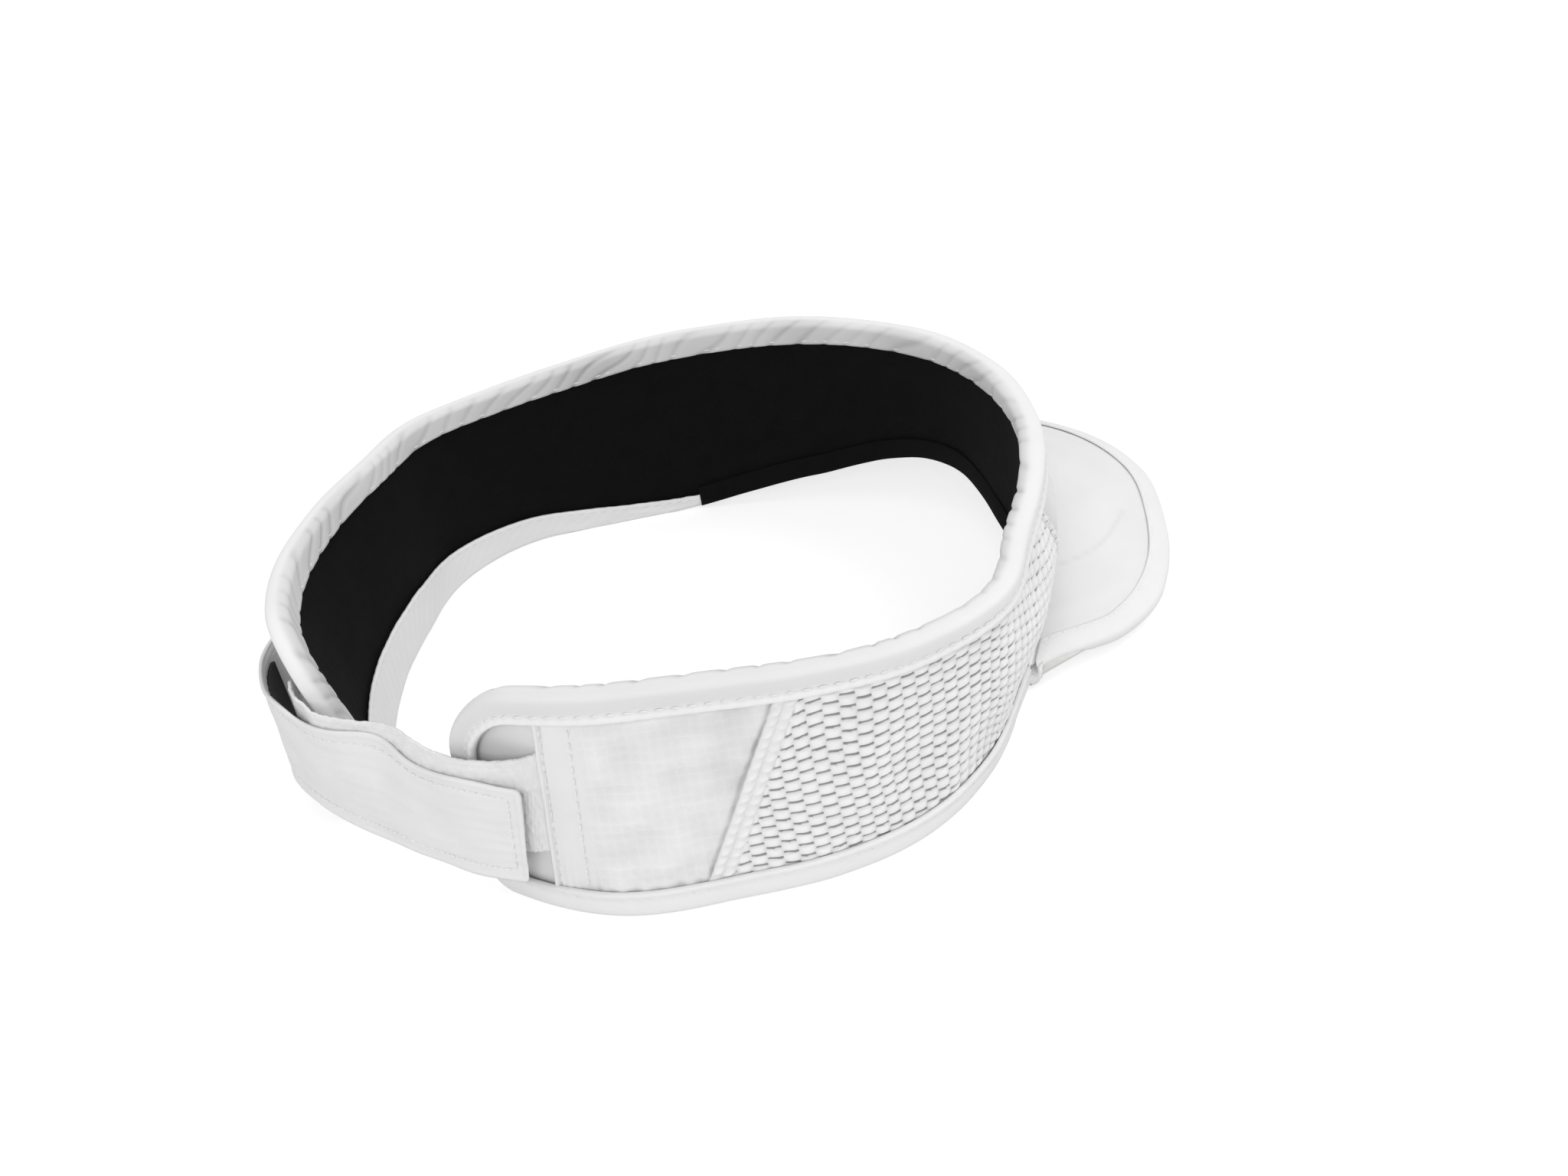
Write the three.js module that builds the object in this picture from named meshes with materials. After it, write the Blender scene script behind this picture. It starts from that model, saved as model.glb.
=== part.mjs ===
// Sports sun visor, millimetres, +X towards the brim, +Y the wearer's left, +Z up.
// The origin is on the level the visor stands on, under the middle of the head opening.
// The band is a soft oval wall of sewn layers. Every layer is laid out on one band surface,
// by angle round the head, height on the wall and distance out from the surface.
import * as THREE from 'three';

// Band, stations evenly spaced from the front round to the wearer's left, every 15 degrees
// for the radii and every 30 for the rises. A worn band that stands free takes a slightly
// skewed oval with soft bends, so the two sides differ a little.
const bottomRadius = [91.5, 91, 86, 84, 84.5, 87.5, 93.5, 93, 87, 84.5, 84, 85.5,
  87.5, 89, 89.5, 89, 87, 88, 88, 84.5, 81.5, 83.5, 88, 88.5];
const topRadius = [89.5, 88.5, 88.5, 88, 88, 86, 87, 90, 88, 91.5, 96, 98.5,
  99, 93, 87, 83, 82.5, 85.5, 90, 92.5, 87, 87, 88.5, 89.5];
const bottomRise = [19, 9, 0, 0.4, 0.6, 0.2, 0.2, 0, 0.6, 0, 0.2, 9];
const topRise = [58, 56.5, 54, 54, 56, 54.5, 54, 57, 57, 54, 53.5, 56.5];
const standCut = 0.6;
const rightEndAngle = -160;
const leftEndAngle = 172;
const endTuck = 3.4;
const endTuckAngle = 26;
const upperCornerRadius = 15;
const lowerCornerRadius = 8;

// Layers of the wall, each distance measured out from the band surface
const layerGap = 0.3;
const liningGap = 0.5;
const liningThickness = 1.0;
const backingThickness = 0.9;
const panelThickness = 1.0;
const ripstopThickness = 1.0;
const hemThickness = 0.6;
const endPanelThickness = 0.6;
const buckramThickness = 0.6;

// Seams, as angles at the bottom and the top of the wall on the wearer's left
const frontSeamBottom = 38;
const frontSeamTop = 42;
const backSeamBottom = 126;
const backSeamTop = 109;
const hemAngles = { right: 146, left: 138 };
const hemWidth = 9;

// Bindings folded over the edges
const bindingLeg = 6.5;
const bottomInnerLeg = { front: 4, back: 14 };
const bottomLegAngle = 120;
const bottomLegGrowth = 0.6;
const bindingThickness = 0.8;
const bindingRoll = 1.6;
const bindingMeetGap = 1;
const brimRootAngle = 54;

// Brim, its outer edge given on the wearer's left from the side to the tip as x, y and rise
const brimOutline = [[65, 71.8, 3.9], [76, 72.2, 3.8], [91, 69.6, 3.5], [106, 59.8, 3.2],
  [121.5, 44, 3], [136, 23.8, 2.8], [142, 0, 2.8]];
const brimCornerLength = 3;
const brimRootLift = 2.6;
const brimRootGap = 1.1;
const brimCrown = 2;
const stiffenerThickness = 1.0;
const coverThickness = 0.5;
const brimBindingThickness = 0.5;
const brimBindingLeg = 7;

// Closure: a strap from under the left hem lies over the fuzzy loop strap from under the right hem
const strapWidth = 27.5;
const strapRise = 9.2;
const strapThickness = 1.0;
const strapBaseLength = 8;
const strapLine = [[-82, 51.5], [-90, 48.5], [-97, 41], [-101.5, 30], [-101.5, 14], [-97, -5],
  [-91.4, -23.1], [-85.5, -37.4], [-77.5, -49.6]];
const strapEndSlant = 3.6;
const strapLean = { depth: 4.3, at: 82, span: 13 };
const strapUntwist = 34;
const hookThickness = 0.8;
const hookInset = 2;
const hookStart = 24;
const hookEnd = 2.5;
const loopThickness = 1.0;
const loopWidth = 26;
const loopRise = 12.9;
const loopTip = 43;
const loopLift = { height: 2.6, start: 74, span: 24 };

const gray = (level) => new THREE.Color(level, level, level);
const fabricWhite = new THREE.MeshStandardMaterial({ color: gray(0.8), roughness: 0.85, metalness: 0 });
const meshWhite = new THREE.MeshStandardMaterial({ color: gray(0.74), roughness: 0.8, metalness: 0 });
const bindingWhite = new THREE.MeshStandardMaterial({ color: gray(0.84), roughness: 0.75, metalness: 0 });
const liningBlack = new THREE.MeshStandardMaterial({ color: gray(0.02), roughness: 0.95, metalness: 0 });
const hookBlack = new THREE.MeshStandardMaterial({ color: gray(0.015), roughness: 0.6, metalness: 0 });
const loopWhite = new THREE.MeshStandardMaterial({ color: gray(0.82), roughness: 0.95, metalness: 0 });
const stiffenerWhite = new THREE.MeshStandardMaterial({ color: gray(0.7), roughness: 0.5, metalness: 0 });
const buckramWhite = new THREE.MeshStandardMaterial({ color: gray(0.7), roughness: 0.9, metalness: 0 });

const visor = new THREE.Group();
function addPiece(name, geometry, material) {
  const mesh = new THREE.Mesh(geometry, material);
  mesh.name = name;
  visor.add(mesh);
}

const clamp01 = (value) => Math.min(1, Math.max(0, value));
const mix = (a, b, t) => a + (b - a) * t;
const smooth = (t) => t * t * (3 - 2 * t);
const range = (count) => Array.from({ length: count }, (_, index) => index);

// Closed smooth curve through evenly spaced station values
function stationValue(values, angle) {
  const count = values.length;
  const place = ((angle / 360) * count % count + count) % count;
  const index = Math.floor(place);
  const [a, b, c, d] = [-1, 0, 1, 2].map((step) => values[(index + step + count) % count]);
  const t = place - index;
  return 0.5 * (2 * b + (c - a) * t + (2 * a - 5 * b + 4 * c - d) * t * t
    + (3 * b - a - 3 * c + d) * t * t * t);
}

// The wall is tucked in where its right end lies under the closure
const tuckAt = (angle) => endTuck * smooth(clamp01(1 - (angle - rightEndAngle) / endTuckAngle));
const wallLow = (angle) => stationValue(bottomRise, angle) - standCut;
const wallHeight = (angle) => stationValue(topRise, angle) - stationValue(bottomRise, angle);

// A point of the wall: angle in degrees, height above the bottom edge, distance out
function wallPoint(angle, height, out) {
  const share = height / wallHeight(angle);
  const radius = mix(stationValue(bottomRadius, angle), stationValue(topRadius, angle), share)
    - tuckAt(angle) + out;
  const turn = THREE.MathUtils.degToRad(angle);
  return new THREE.Vector3(radius * Math.cos(turn), radius * Math.sin(turn), wallLow(angle) + height);
}
const allRadii = topRadius.concat(bottomRadius);
const meanRadius = allRadii.reduce((sum, value) => sum + value, 0) / allRadii.length;
const degreesPerMm = 180 / (Math.PI * meanRadius);
const gapAngle = layerGap * degreesPerMm;

// Upper and lower edges of the layers, drawn in from the outline so that the bindings fold over them
const edgeInset = bindingRoll;
const distanceFromEnd = (angle) => Math.min(angle - rightEndAngle, leftEndAngle - angle) / degreesPerMm;
function cornerDrop(radius, distance) {
  const reach = 1 - clamp01(distance / radius);
  return radius * (1 - Math.sqrt(1 - reach * reach));
}
const upperEdge = (angle) => wallHeight(angle) - edgeInset
  - cornerDrop(upperCornerRadius - edgeInset, distanceFromEnd(angle) - edgeInset);
const lowerEdge = (angle) => edgeInset
  + cornerDrop(lowerCornerRadius - edgeInset, distanceFromEnd(angle) - edgeInset);

// Makes one closed body with its faces turned outward
function closedBody(points, faces) {
  const cross = new THREE.Vector3();
  const volume = faces.reduce((sum, [a, b, c]) =>
    sum + points[a].dot(cross.crossVectors(points[b], points[c])), 0);
  const outward = volume > 0 ? faces : faces.map(([a, b, c]) => [a, c, b]);
  const geometry = new THREE.BufferGeometry().setFromPoints(points);
  geometry.setIndex(outward.flat());
  geometry.computeVertexNormals();
  return geometry;
}

// A sheet with thickness: place(column, row, side), where side 0 is the inner face and 1 the outer
function sheetBody(columns, rows, place) {
  const points = [];
  const faces = [];
  for (const side of [0, 1]) {
    for (const row of range(rows + 1)) {
      for (const column of range(columns + 1)) {
        points.push(place(column, row, side));
      }
    }
  }
  const index = (column, row, side) => (side * (rows + 1) + row) * (columns + 1) + column;
  const quad = (a, b, c, d) => faces.push([a, b, c], [a, c, d]);
  for (const row of range(rows)) {
    for (const column of range(columns)) {
      const corners = [[column, row], [column + 1, row], [column + 1, row + 1], [column, row + 1]];
      quad(...corners.map(([i, j]) => index(i, j, 1)));
      quad(...corners.reverse().map(([i, j]) => index(i, j, 0)));
    }
  }
  const rim = [
    ...range(columns).map((i) => [i, 0]),
    ...range(rows).map((j) => [columns, j]),
    ...range(columns).map((i) => [columns - i, rows]),
    ...range(rows).map((j) => [0, rows - j]),
  ];
  rim.forEach(([i, j], step) => {
    const [nextI, nextJ] = rim[(step + 1) % rim.length];
    quad(index(i, j, 0), index(nextI, nextJ, 0), index(nextI, nextJ, 1), index(i, j, 1));
  });
  return closedBody(points, faces);
}

// A section carried along a path: place(step, a, b) puts the section's point a, b
function sweptBody(steps, section, place) {
  const size = section.length;
  const points = range(steps + 1).flatMap((step) => section.map(([a, b]) => place(step, a, b)));
  const faces = [];
  for (const step of range(steps)) {
    for (const k of range(size)) {
      const next = (k + 1) % size;
      const [a, b] = [step * size + k, step * size + next];
      faces.push([a, b + size, b], [a, a + size, b + size]);
    }
  }
  const outline = section.map(([a, b]) => new THREE.Vector2(a, b));
  const last = steps * size;
  for (const [a, b, c] of THREE.ShapeUtils.triangulateShape(outline, [])) {
    faces.push([a, b, c], [last + a, last + c, last + b]);
  }
  return closedBody(points, faces);
}

// Where each layer of the wall lies, out from the band surface
const panelIn = -backingThickness;
const liningOut = panelIn - liningGap;
const liningIn = liningOut - liningThickness;
const panelOut = panelThickness;
const ripstopOut = panelIn + ripstopThickness;
const hemIn = ripstopOut + layerGap;
const endPanelOut = panelIn + endPanelThickness;
const buckramIn = panelIn;
const buckramOut = buckramIn + buckramThickness;

// One layer of the wall: angleAt(column, share of the height) gives where each column runs
function wallLayer(columns, rows, angleAt, inner, outer) {
  return sheetBody(columns, rows, (column, row, side) => {
    const angle = angleAt(column, row / rows);
    const height = mix(lowerEdge(angle), upperEdge(angle), row / rows);
    return wallPoint(angle, height, side ? outer : inner);
  });
}

// A layer between two seams, each seam given by its angle at the bottom and at the top
const columnStep = 3;
function seamedLayer(rows, from, to, inner, outer) {
  const widest = Math.max(...to.map((angle, end) => Math.abs(angle - from[end])));
  const columns = Math.ceil(widest / columnStep);
  return wallLayer(columns, rows, (column, share) =>
    mix(mix(...from, share), mix(...to, share), column / columns), inner, outer);
}

// Columns that crowd together over the round corners at the wall's ends
const cornerSteps = 5;
const cornerReach = (upperCornerRadius - edgeInset) * degreesPerMm;
function cornerAngles(endAngle, inward) {
  return range(cornerSteps).map((k) => endAngle
    + inward * (edgeInset * degreesPerMm + cornerReach * (1 - Math.cos((k / cornerSteps) * Math.PI / 2))));
}
function evenAngles(from, to) {
  const count = Math.ceil(Math.abs(to - from) / columnStep);
  return range(count + 1).map((k) => mix(from, to, k / count));
}
const rightCorner = cornerAngles(rightEndAngle, 1);
const leftCorner = cornerAngles(leftEndAngle, -1).reverse();
const rightInner = rightEndAngle + edgeInset * degreesPerMm + cornerReach;
const leftInner = leftEndAngle - edgeInset * degreesPerMm - cornerReach;
function endedLayer(angles, inner, outer) {
  return wallLayer(angles.length - 1, 5, (column) => angles[column], inner, outer);
}
const liningAngles = [...rightCorner, ...evenAngles(rightInner, leftInner), ...leftCorner];
const endPanelAngles = {
  right: [...rightCorner, ...evenAngles(rightInner, -hemAngles.right - gapAngle)],
  left: [...evenAngles(hemAngles.left + gapAngle, leftInner), ...leftCorner],
};

function addWall() {
  const frontFrom = [-frontSeamBottom, -frontSeamTop];
  const frontTo = [frontSeamBottom, frontSeamTop];
  const moved = (seam, angle) => seam.map((value) => value + angle);
  const seamAllowance = hemWidth * degreesPerMm;
  addPiece('front_panel', seamedLayer(4, frontFrom, frontTo, buckramOut + layerGap, panelOut), fabricWhite);
  addPiece('front_buckram', seamedLayer(3, moved(frontFrom, seamAllowance), moved(frontTo, -seamAllowance),
    buckramIn, buckramOut), buckramWhite);
  addPiece('lining', endedLayer(liningAngles, liningIn, liningOut), liningBlack);
  for (const [side, hand] of [['right', -1], ['left', 1]]) {
    const frontSeam = [hand * frontSeamBottom, hand * frontSeamTop];
    const backSeam = [hand * backSeamBottom, hand * backSeamTop];
    const hem = hand * hemAngles[side];
    addPiece(`mesh_panel_${side}`,
      seamedLayer(6, moved(frontSeam, hand * gapAngle), backSeam, panelIn, panelOut), meshWhite);
    addPiece(`back_panel_${side}`,
      seamedLayer(6, moved(backSeam, hand * gapAngle), [hem, hem], panelIn, ripstopOut), fabricWhite);
    addPiece(`back_hem_${side}`, hemStrip(hem - hand * seamAllowance, hem), fabricWhite);
    addPiece(`end_panel_${side}`, endedLayer(endPanelAngles[side], panelIn, endPanelOut), fabricWhite);
  }
}

// The folded hem lies on the back panel between the two bindings
function hemStrip(from, to) {
  return sheetBody(2, 5, (column, row, side) => {
    const angle = mix(from, to, column / 2);
    const height = mix(bindingLeg + layerGap, wallHeight(angle) - bindingLeg - layerGap, row / 5);
    return wallPoint(angle, height, hemIn + side * hemThickness);
  });
}

// Section of a binding, a tape folded over an edge: a runs in from the edge, b runs out through it
function foldedTape(low, high, thickness, innerLeg, outerLeg, roll) {
  const middle = (low + high) / 2;
  const half = (high - low) / 2;
  const rollSteps = 5;
  const round = range(rollSteps + 1).map((k) => {
    const turn = Math.PI * (0.5 - k / rollSteps);
    return [roll * (1 - Math.cos(turn)), middle + half * Math.sin(turn)];
  });
  const slot = roll - layerGap;
  return [[outerLeg, high], ...round, [innerLeg, low], [innerLeg, low + thickness], [slot, low + thickness],
    [slot, high - thickness], [outerLeg, high - thickness]];
}
const wallTape = (innerLeg) => foldedTape(liningIn - liningGap - bindingThickness,
  panelOut + layerGap + bindingThickness, bindingThickness, innerLeg, bindingLeg, bindingRoll);

// Stations of a binding's path: angle, height and the way in from the edge
const station = (angle, height, inAngle, inHeight) => ({ angle, height, inAngle, inHeight });
function roundCorner(endAngle, inward, radius, upper) {
  return range(cornerSteps + 1).map((k) => {
    const turn = (k / cornerSteps) * Math.PI / 2;
    const angle = endAngle + inward * radius * (1 - Math.cos(turn)) * degreesPerMm;
    const drop = radius * (1 - Math.sin(turn));
    const height = upper ? wallHeight(angle) - drop : drop;
    return station(angle, height, inward * Math.cos(turn), (upper ? -1 : 1) * Math.sin(turn));
  });
}
const bindingMeet = lowerCornerRadius + bindingMeetGap;
const upperStart = (endAngle, inward) => station(endAngle, bindingMeet, inward, 0);
const lowerStart = (endAngle, inward) => station(endAngle, bindingMeet - layerGap, inward, 0);
const alongTop = (from, to) => evenAngles(from, to).slice(1, -1)
  .map((angle) => station(angle, wallHeight(angle), 0, -1));
const alongBottom = (from, to) => evenAngles(from, to).slice(1).map((angle) => station(angle, 0, 0, 1));

// The inner leg of a bottom binding widens toward the back and narrows again at the band's end
function bottomLeg(angle) {
  const share = clamp01((Math.abs(angle) - brimRootAngle) / (bottomLegAngle - brimRootAngle));
  const fromCorner = Math.max(0, distanceFromEnd(angle) - lowerCornerRadius);
  return Math.min(mix(bottomInnerLeg.front, bottomInnerLeg.back, share),
    lowerCornerRadius + bottomLegGrowth * fromCorner);
}

function addBinding(name, innerLeg, path) {
  const widest = Math.max(...path.map(({ angle }) => innerLeg(angle)));
  const place = (step, a, b) => {
    const { angle, height, inAngle, inHeight } = path[step];
    const narrow = (innerLeg(angle) - bindingRoll) / (widest - bindingRoll);
    const into = b < panelIn && a > bindingRoll ? bindingRoll + (a - bindingRoll) * narrow : a;
    const point = wallPoint(angle + inAngle * into * degreesPerMm, height + inHeight * into, b);
    point.z = Math.max(point.z, 0);
    return point;
  };
  addPiece(name, sweptBody(path.length - 1, wallTape(widest), place), bindingWhite);
}

function addBindings() {
  const upperReach = upperCornerRadius * degreesPerMm;
  const lowerReach = lowerCornerRadius * degreesPerMm;
  const brimEnd = brimRootAngle + 2 * gapAngle;
  addBinding('top_binding', () => bindingLeg, [
    upperStart(rightEndAngle, 1), ...roundCorner(rightEndAngle, 1, upperCornerRadius, true),
    ...alongTop(rightEndAngle + upperReach, leftEndAngle - upperReach),
    ...roundCorner(leftEndAngle, -1, upperCornerRadius, true).reverse(), upperStart(leftEndAngle, -1)]);
  addBinding('bottom_binding_right', bottomLeg, [
    lowerStart(rightEndAngle, 1), ...roundCorner(rightEndAngle, 1, lowerCornerRadius, false),
    ...alongBottom(rightEndAngle + lowerReach, -brimEnd)]);
  addBinding('bottom_binding_left', bottomLeg, [
    lowerStart(leftEndAngle, -1), ...roundCorner(leftEndAngle, -1, lowerCornerRadius, false),
    ...alongBottom(leftEndAngle - lowerReach, brimEnd)]);
}

// Brim surface between its root on the wall and its outer edge: across runs from -1 on the
// wearer's right to 1 on the left, forward from 0 at the root to 1 at the edge
const rootPoint = (across, out = 0) =>
  wallPoint(across * brimRootAngle, brimRootLift, panelOut + brimRootGap + out);
const edgePoints = (hand) => brimOutline.map(([x, y, z]) => new THREE.Vector3(x, hand * y, z));
const brimEdge = new THREE.CatmullRomCurve3([
  rootPoint(-1, brimCornerLength), ...edgePoints(-1),
  ...edgePoints(1).reverse().slice(1), rootPoint(1, brimCornerLength)]);
function brimMiddle(across, forward) {
  const root = rootPoint(across);
  const edge = brimEdge.getPointAt((across + 1) / 2);
  const crown = brimCrown * Math.min(1, root.distanceTo(edge) / (4 * brimBindingLeg));
  return root.lerp(edge, forward).add(new THREE.Vector3(0, 0, crown * 4 * forward * (1 - forward)));
}
function brimPoint(across, inFromEdge, up) {
  const forward = 1 - inFromEdge / brimLength(across);
  const step = 0.01 * (across > 0 ? -1 : 1);
  const middle = brimMiddle(across, forward);
  const alongRoot = brimMiddle(across + step, forward).sub(middle);
  const alongBrim = brimMiddle(across, forward - step).sub(middle);
  return middle.addScaledVector(alongRoot.cross(alongBrim).normalize(), up);
}
const brimColumns = 44;
const acrossAt = (column) => Math.sin((column / brimColumns - 0.5) * Math.PI);

const brimLength = (across) => rootPoint(across).distanceTo(brimEdge.getPointAt((across + 1) / 2));
const underBinding = (length) => Math.min(brimBindingLeg, length - layerGap);
const layerReach = 0.985;

// A brim layer has its last row under the binding and the others evenly behind it
function brimLayer(low, high) {
  const rows = 5;
  return sheetBody(brimColumns, rows, (column, row, side) => {
    const across = layerReach * acrossAt(column);
    const length = brimLength(across);
    const inFromEdge = row < rows ? mix(length, underBinding(length), row / (rows - 1)) : edgeInset;
    return brimPoint(across, inFromEdge, side ? high : low);
  });
}

function addBrim() {
  const core = stiffenerThickness / 2;
  const coverLow = core + layerGap;
  const coverHigh = coverLow + coverThickness;
  const tapeHigh = coverHigh + liningGap + brimBindingThickness;
  const tape = foldedTape(-tapeHigh, tapeHigh, brimBindingThickness, brimBindingLeg,
    brimBindingLeg, bindingRoll);
  addPiece('brim_stiffener', brimLayer(-core, core), stiffenerWhite);
  addPiece('brim_top_cover', brimLayer(coverLow, coverHigh), fabricWhite);
  addPiece('brim_under_cover', brimLayer(-coverHigh, -coverLow), fabricWhite);
  addPiece('brim_binding', sweptBody(brimColumns, tape, (step, a, b) => {
    const across = acrossAt(step);
    return brimPoint(across, Math.min(a, underBinding(brimLength(across))), b);
  }), bindingWhite);
}

// Closure, laid out along a line seen from above; the strap starts at the fold line on the wall
const strapBaseOut = endPanelOut + layerGap + strapThickness;
const foldAngle = hemAngles.left + (layerGap + strapBaseLength) * degreesPerMm;
const strapTop = strapRise + strapWidth;
const heightAt = (angle, rise) => rise - wallLow(angle);
const foldPoint = (rise) => wallPoint(foldAngle + gapAngle, heightAt(foldAngle, rise), strapBaseOut);
const strapStart = foldPoint(strapTop);
const strapPath = new THREE.CatmullRomCurve3(
  [[strapStart.x, strapStart.y], ...strapLine].map(([x, y]) => new THREE.Vector3(x, y, 0)));
const strapLength = strapPath.getLength();

// A point of the closure: distance along the line, rise above the ground and distance out.
// The wall leans out at the fold line, so the strap starts as steep as the wall and turns upright.
// Where nothing lies behind it, between the two ends of the band, its upper edge leans in.
function strapPoint(along, rise, out) {
  const share = clamp01(along / strapLength);
  const middle = strapPath.getPointAt(share);
  const way = strapPath.getTangentAt(share);
  const lean = foldPoint(rise).sub(strapStart).setZ(0)
    .multiplyScalar(1 - smooth(clamp01(along / strapUntwist)));
  const upward = Math.max(0, (rise - strapRise) / strapWidth);
  const inward = strapLean.depth * Math.exp(-(((along - strapLean.at) / strapLean.span) ** 2))
    * Math.min(1.3, upward) ** 1.5;
  const away = out - inward;
  return middle.add(lean).add(new THREE.Vector3(way.y * away, -way.x * away, rise));
}
function strapSheet(columns, from, to, low, high, inner, outer) {
  return sheetBody(columns, 3, (column, row, side) => {
    const end = to - strapEndSlant * (1 - row / 3);
    const along = mix(from, end, column / columns);
    return strapPoint(along, mix(low, high, row / 3), side ? outer : inner);
  });
}

// The loop strap follows the closure, then bends in to the wall and ends under the right hem.
// It climbs a little on its way.
const hookOut = -strapThickness - layerGap;
const loopOut = hookOut - hookThickness - layerGap;
const loopRoot = -hemAngles.right - gapAngle;
function loopPoint(share, level, out) {
  const leaves = 0.86;
  const onStrap = mix(loopTip, strapLength, Math.min(1, share / leaves));
  const rise = level + loopLift.height * smooth(clamp01((onStrap - loopLift.start) / loopLift.span));
  const point = strapPoint(onStrap, rise, loopOut + out);
  const rootOut = endPanelOut + layerGap + loopThickness;
  const root = wallPoint(loopRoot, heightAt(loopRoot, rise), rootOut + out);
  return share > leaves ? point.lerp(root, (share - leaves) / (1 - leaves)) : point;
}

function addClosure() {
  addPiece('strap_base', sheetBody(3, 3, (column, row, side) => {
    const angle = mix(hemAngles.left + gapAngle, foldAngle, column / 3);
    const rise = mix(strapRise, strapTop, row / 3);
    return wallPoint(angle, heightAt(angle, rise), strapBaseOut - (side ? 0 : strapThickness));
  }), fabricWhite);
  addPiece('closure_strap',
    strapSheet(34, 0, strapLength, strapRise, strapTop, -strapThickness, 0), fabricWhite);
  addPiece('hook_tape', strapSheet(26, hookStart, strapLength - hookEnd, strapRise + hookInset,
    strapTop - hookInset, hookOut - hookThickness, hookOut), hookBlack);
  addPiece('loop_strap', sheetBody(28, 3, (column, row, side) =>
    loopPoint(column / 28, loopRise + loopWidth * row / 3, side ? 0 : -loopThickness)), loopWhite);
}

addWall();
addBindings();
addBrim();
addClosure();

export default visor;
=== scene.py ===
# %% [markdown]
# A white running visor is a soft band of sewn cloth with a curved brim. The solid model gives
# its measures, and this lesson dresses it: every cloth is cut as a flat grid and then wrapped
# round the head line, with its pleats and seams, as a maker cuts and sews the real pieces.

# %% Load the solid model
import math

import bmesh
import bpy
import numpy as np
from mathutils import Matrix, Vector


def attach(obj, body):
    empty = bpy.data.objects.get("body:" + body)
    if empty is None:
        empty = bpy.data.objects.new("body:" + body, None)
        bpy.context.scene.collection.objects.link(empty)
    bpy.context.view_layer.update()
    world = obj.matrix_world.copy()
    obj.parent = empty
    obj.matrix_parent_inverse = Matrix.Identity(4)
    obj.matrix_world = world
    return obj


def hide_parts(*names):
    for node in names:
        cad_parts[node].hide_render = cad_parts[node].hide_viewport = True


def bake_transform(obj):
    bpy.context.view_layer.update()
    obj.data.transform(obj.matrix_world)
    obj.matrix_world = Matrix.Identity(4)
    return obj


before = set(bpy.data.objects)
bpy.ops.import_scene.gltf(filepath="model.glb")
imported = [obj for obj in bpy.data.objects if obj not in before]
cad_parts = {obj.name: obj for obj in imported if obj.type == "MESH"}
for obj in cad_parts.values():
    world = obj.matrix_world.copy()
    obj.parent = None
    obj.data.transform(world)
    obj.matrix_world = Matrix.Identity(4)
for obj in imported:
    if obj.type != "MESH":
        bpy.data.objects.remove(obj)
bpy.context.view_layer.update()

print("the solid model has", len(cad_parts), "parts")

# %% [markdown]
# The photograph looks down on the back of the visor from the wearer's right, with the camera
# tipped a little. A lens shift keeps the visor left of the middle without turning the camera.

# %% Set up the camera
camera_turn, camera_rise, camera_roll = (math.radians(angle) for angle in (-29.4, 34.7, 11.3))
camera_distance = 0.4725
lens_mm, sensor_mm, shift_right, shift_up = 42.4, 36, 0.0532, 0.0405
camera_target = Vector((0, 0, 0.0057))
camera_back = Vector((math.cos(camera_rise) * math.sin(camera_turn),
                      -math.cos(camera_rise) * math.cos(camera_turn), math.sin(camera_rise)))
level_right = Vector((math.cos(camera_turn), math.sin(camera_turn), 0))
level_up = camera_back.cross(level_right)
rolled_right = level_right * math.cos(camera_roll) - level_up * math.sin(camera_roll)
rolled_up = level_right * math.sin(camera_roll) + level_up * math.cos(camera_roll)

camera_data = bpy.data.cameras.new("photo_camera")
camera_data.sensor_width, camera_data.lens = sensor_mm, lens_mm
camera_data.shift_x, camera_data.shift_y = shift_right, shift_up
camera_data.clip_start = 0.01
camera = bpy.data.objects.new("photo_camera", camera_data)
camera.matrix_world = (Matrix.Translation(camera_target + camera_back * camera_distance)
                       @ Matrix((rolled_right, rolled_up, camera_back)).transposed().to_4x4())
bpy.context.scene.collection.objects.link(camera)
bpy.context.scene.camera = camera
bpy.context.scene.view_settings.view_transform = "Standard"
print("camera at", [round(value, 3) for value in camera.matrix_world.translation])

# %% [markdown]
# White cloth shows its folds only if the light comes more from one side than from the other.
# A grey world fills the shadows evenly, and three broad lamps shape the band. The camera sees
# the world as pure white, as in a catalogue picture, without more light on the cloth.

# %% Build node trees with short calls
def feed(tree, socket, value):
    """Set a socket to a plain value, or link it to the output of another node"""
    if isinstance(value, bpy.types.NodeSocket):
        tree.links.new(value, socket)
    else:
        socket.default_value = value


def add_node(tree, kind, inputs=None, **settings):
    node = tree.nodes.new(kind)
    for key, value in settings.items():
        setattr(node, key, value)
    for key, value in (inputs or {}).items():
        feed(tree, node.inputs[key], value)
    return node


def calculate(tree, operation, *values):
    inputs = dict(enumerate(values))
    return add_node(tree, "ShaderNodeMath", inputs, operation=operation).outputs[0]


def seen_plainly(tree):
    """1 for camera, mirror and glass rays, which see the plain background"""
    path = add_node(tree, "ShaderNodeLightPath")
    mirror = calculate(tree, "MAXIMUM", path.outputs["Is Glossy Ray"],
                       path.outputs["Is Transmission Ray"])
    return calculate(tree, "MAXIMUM", path.outputs["Is Camera Ray"], mirror)


def grey(level):
    return (level, level, level, 1)

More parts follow.
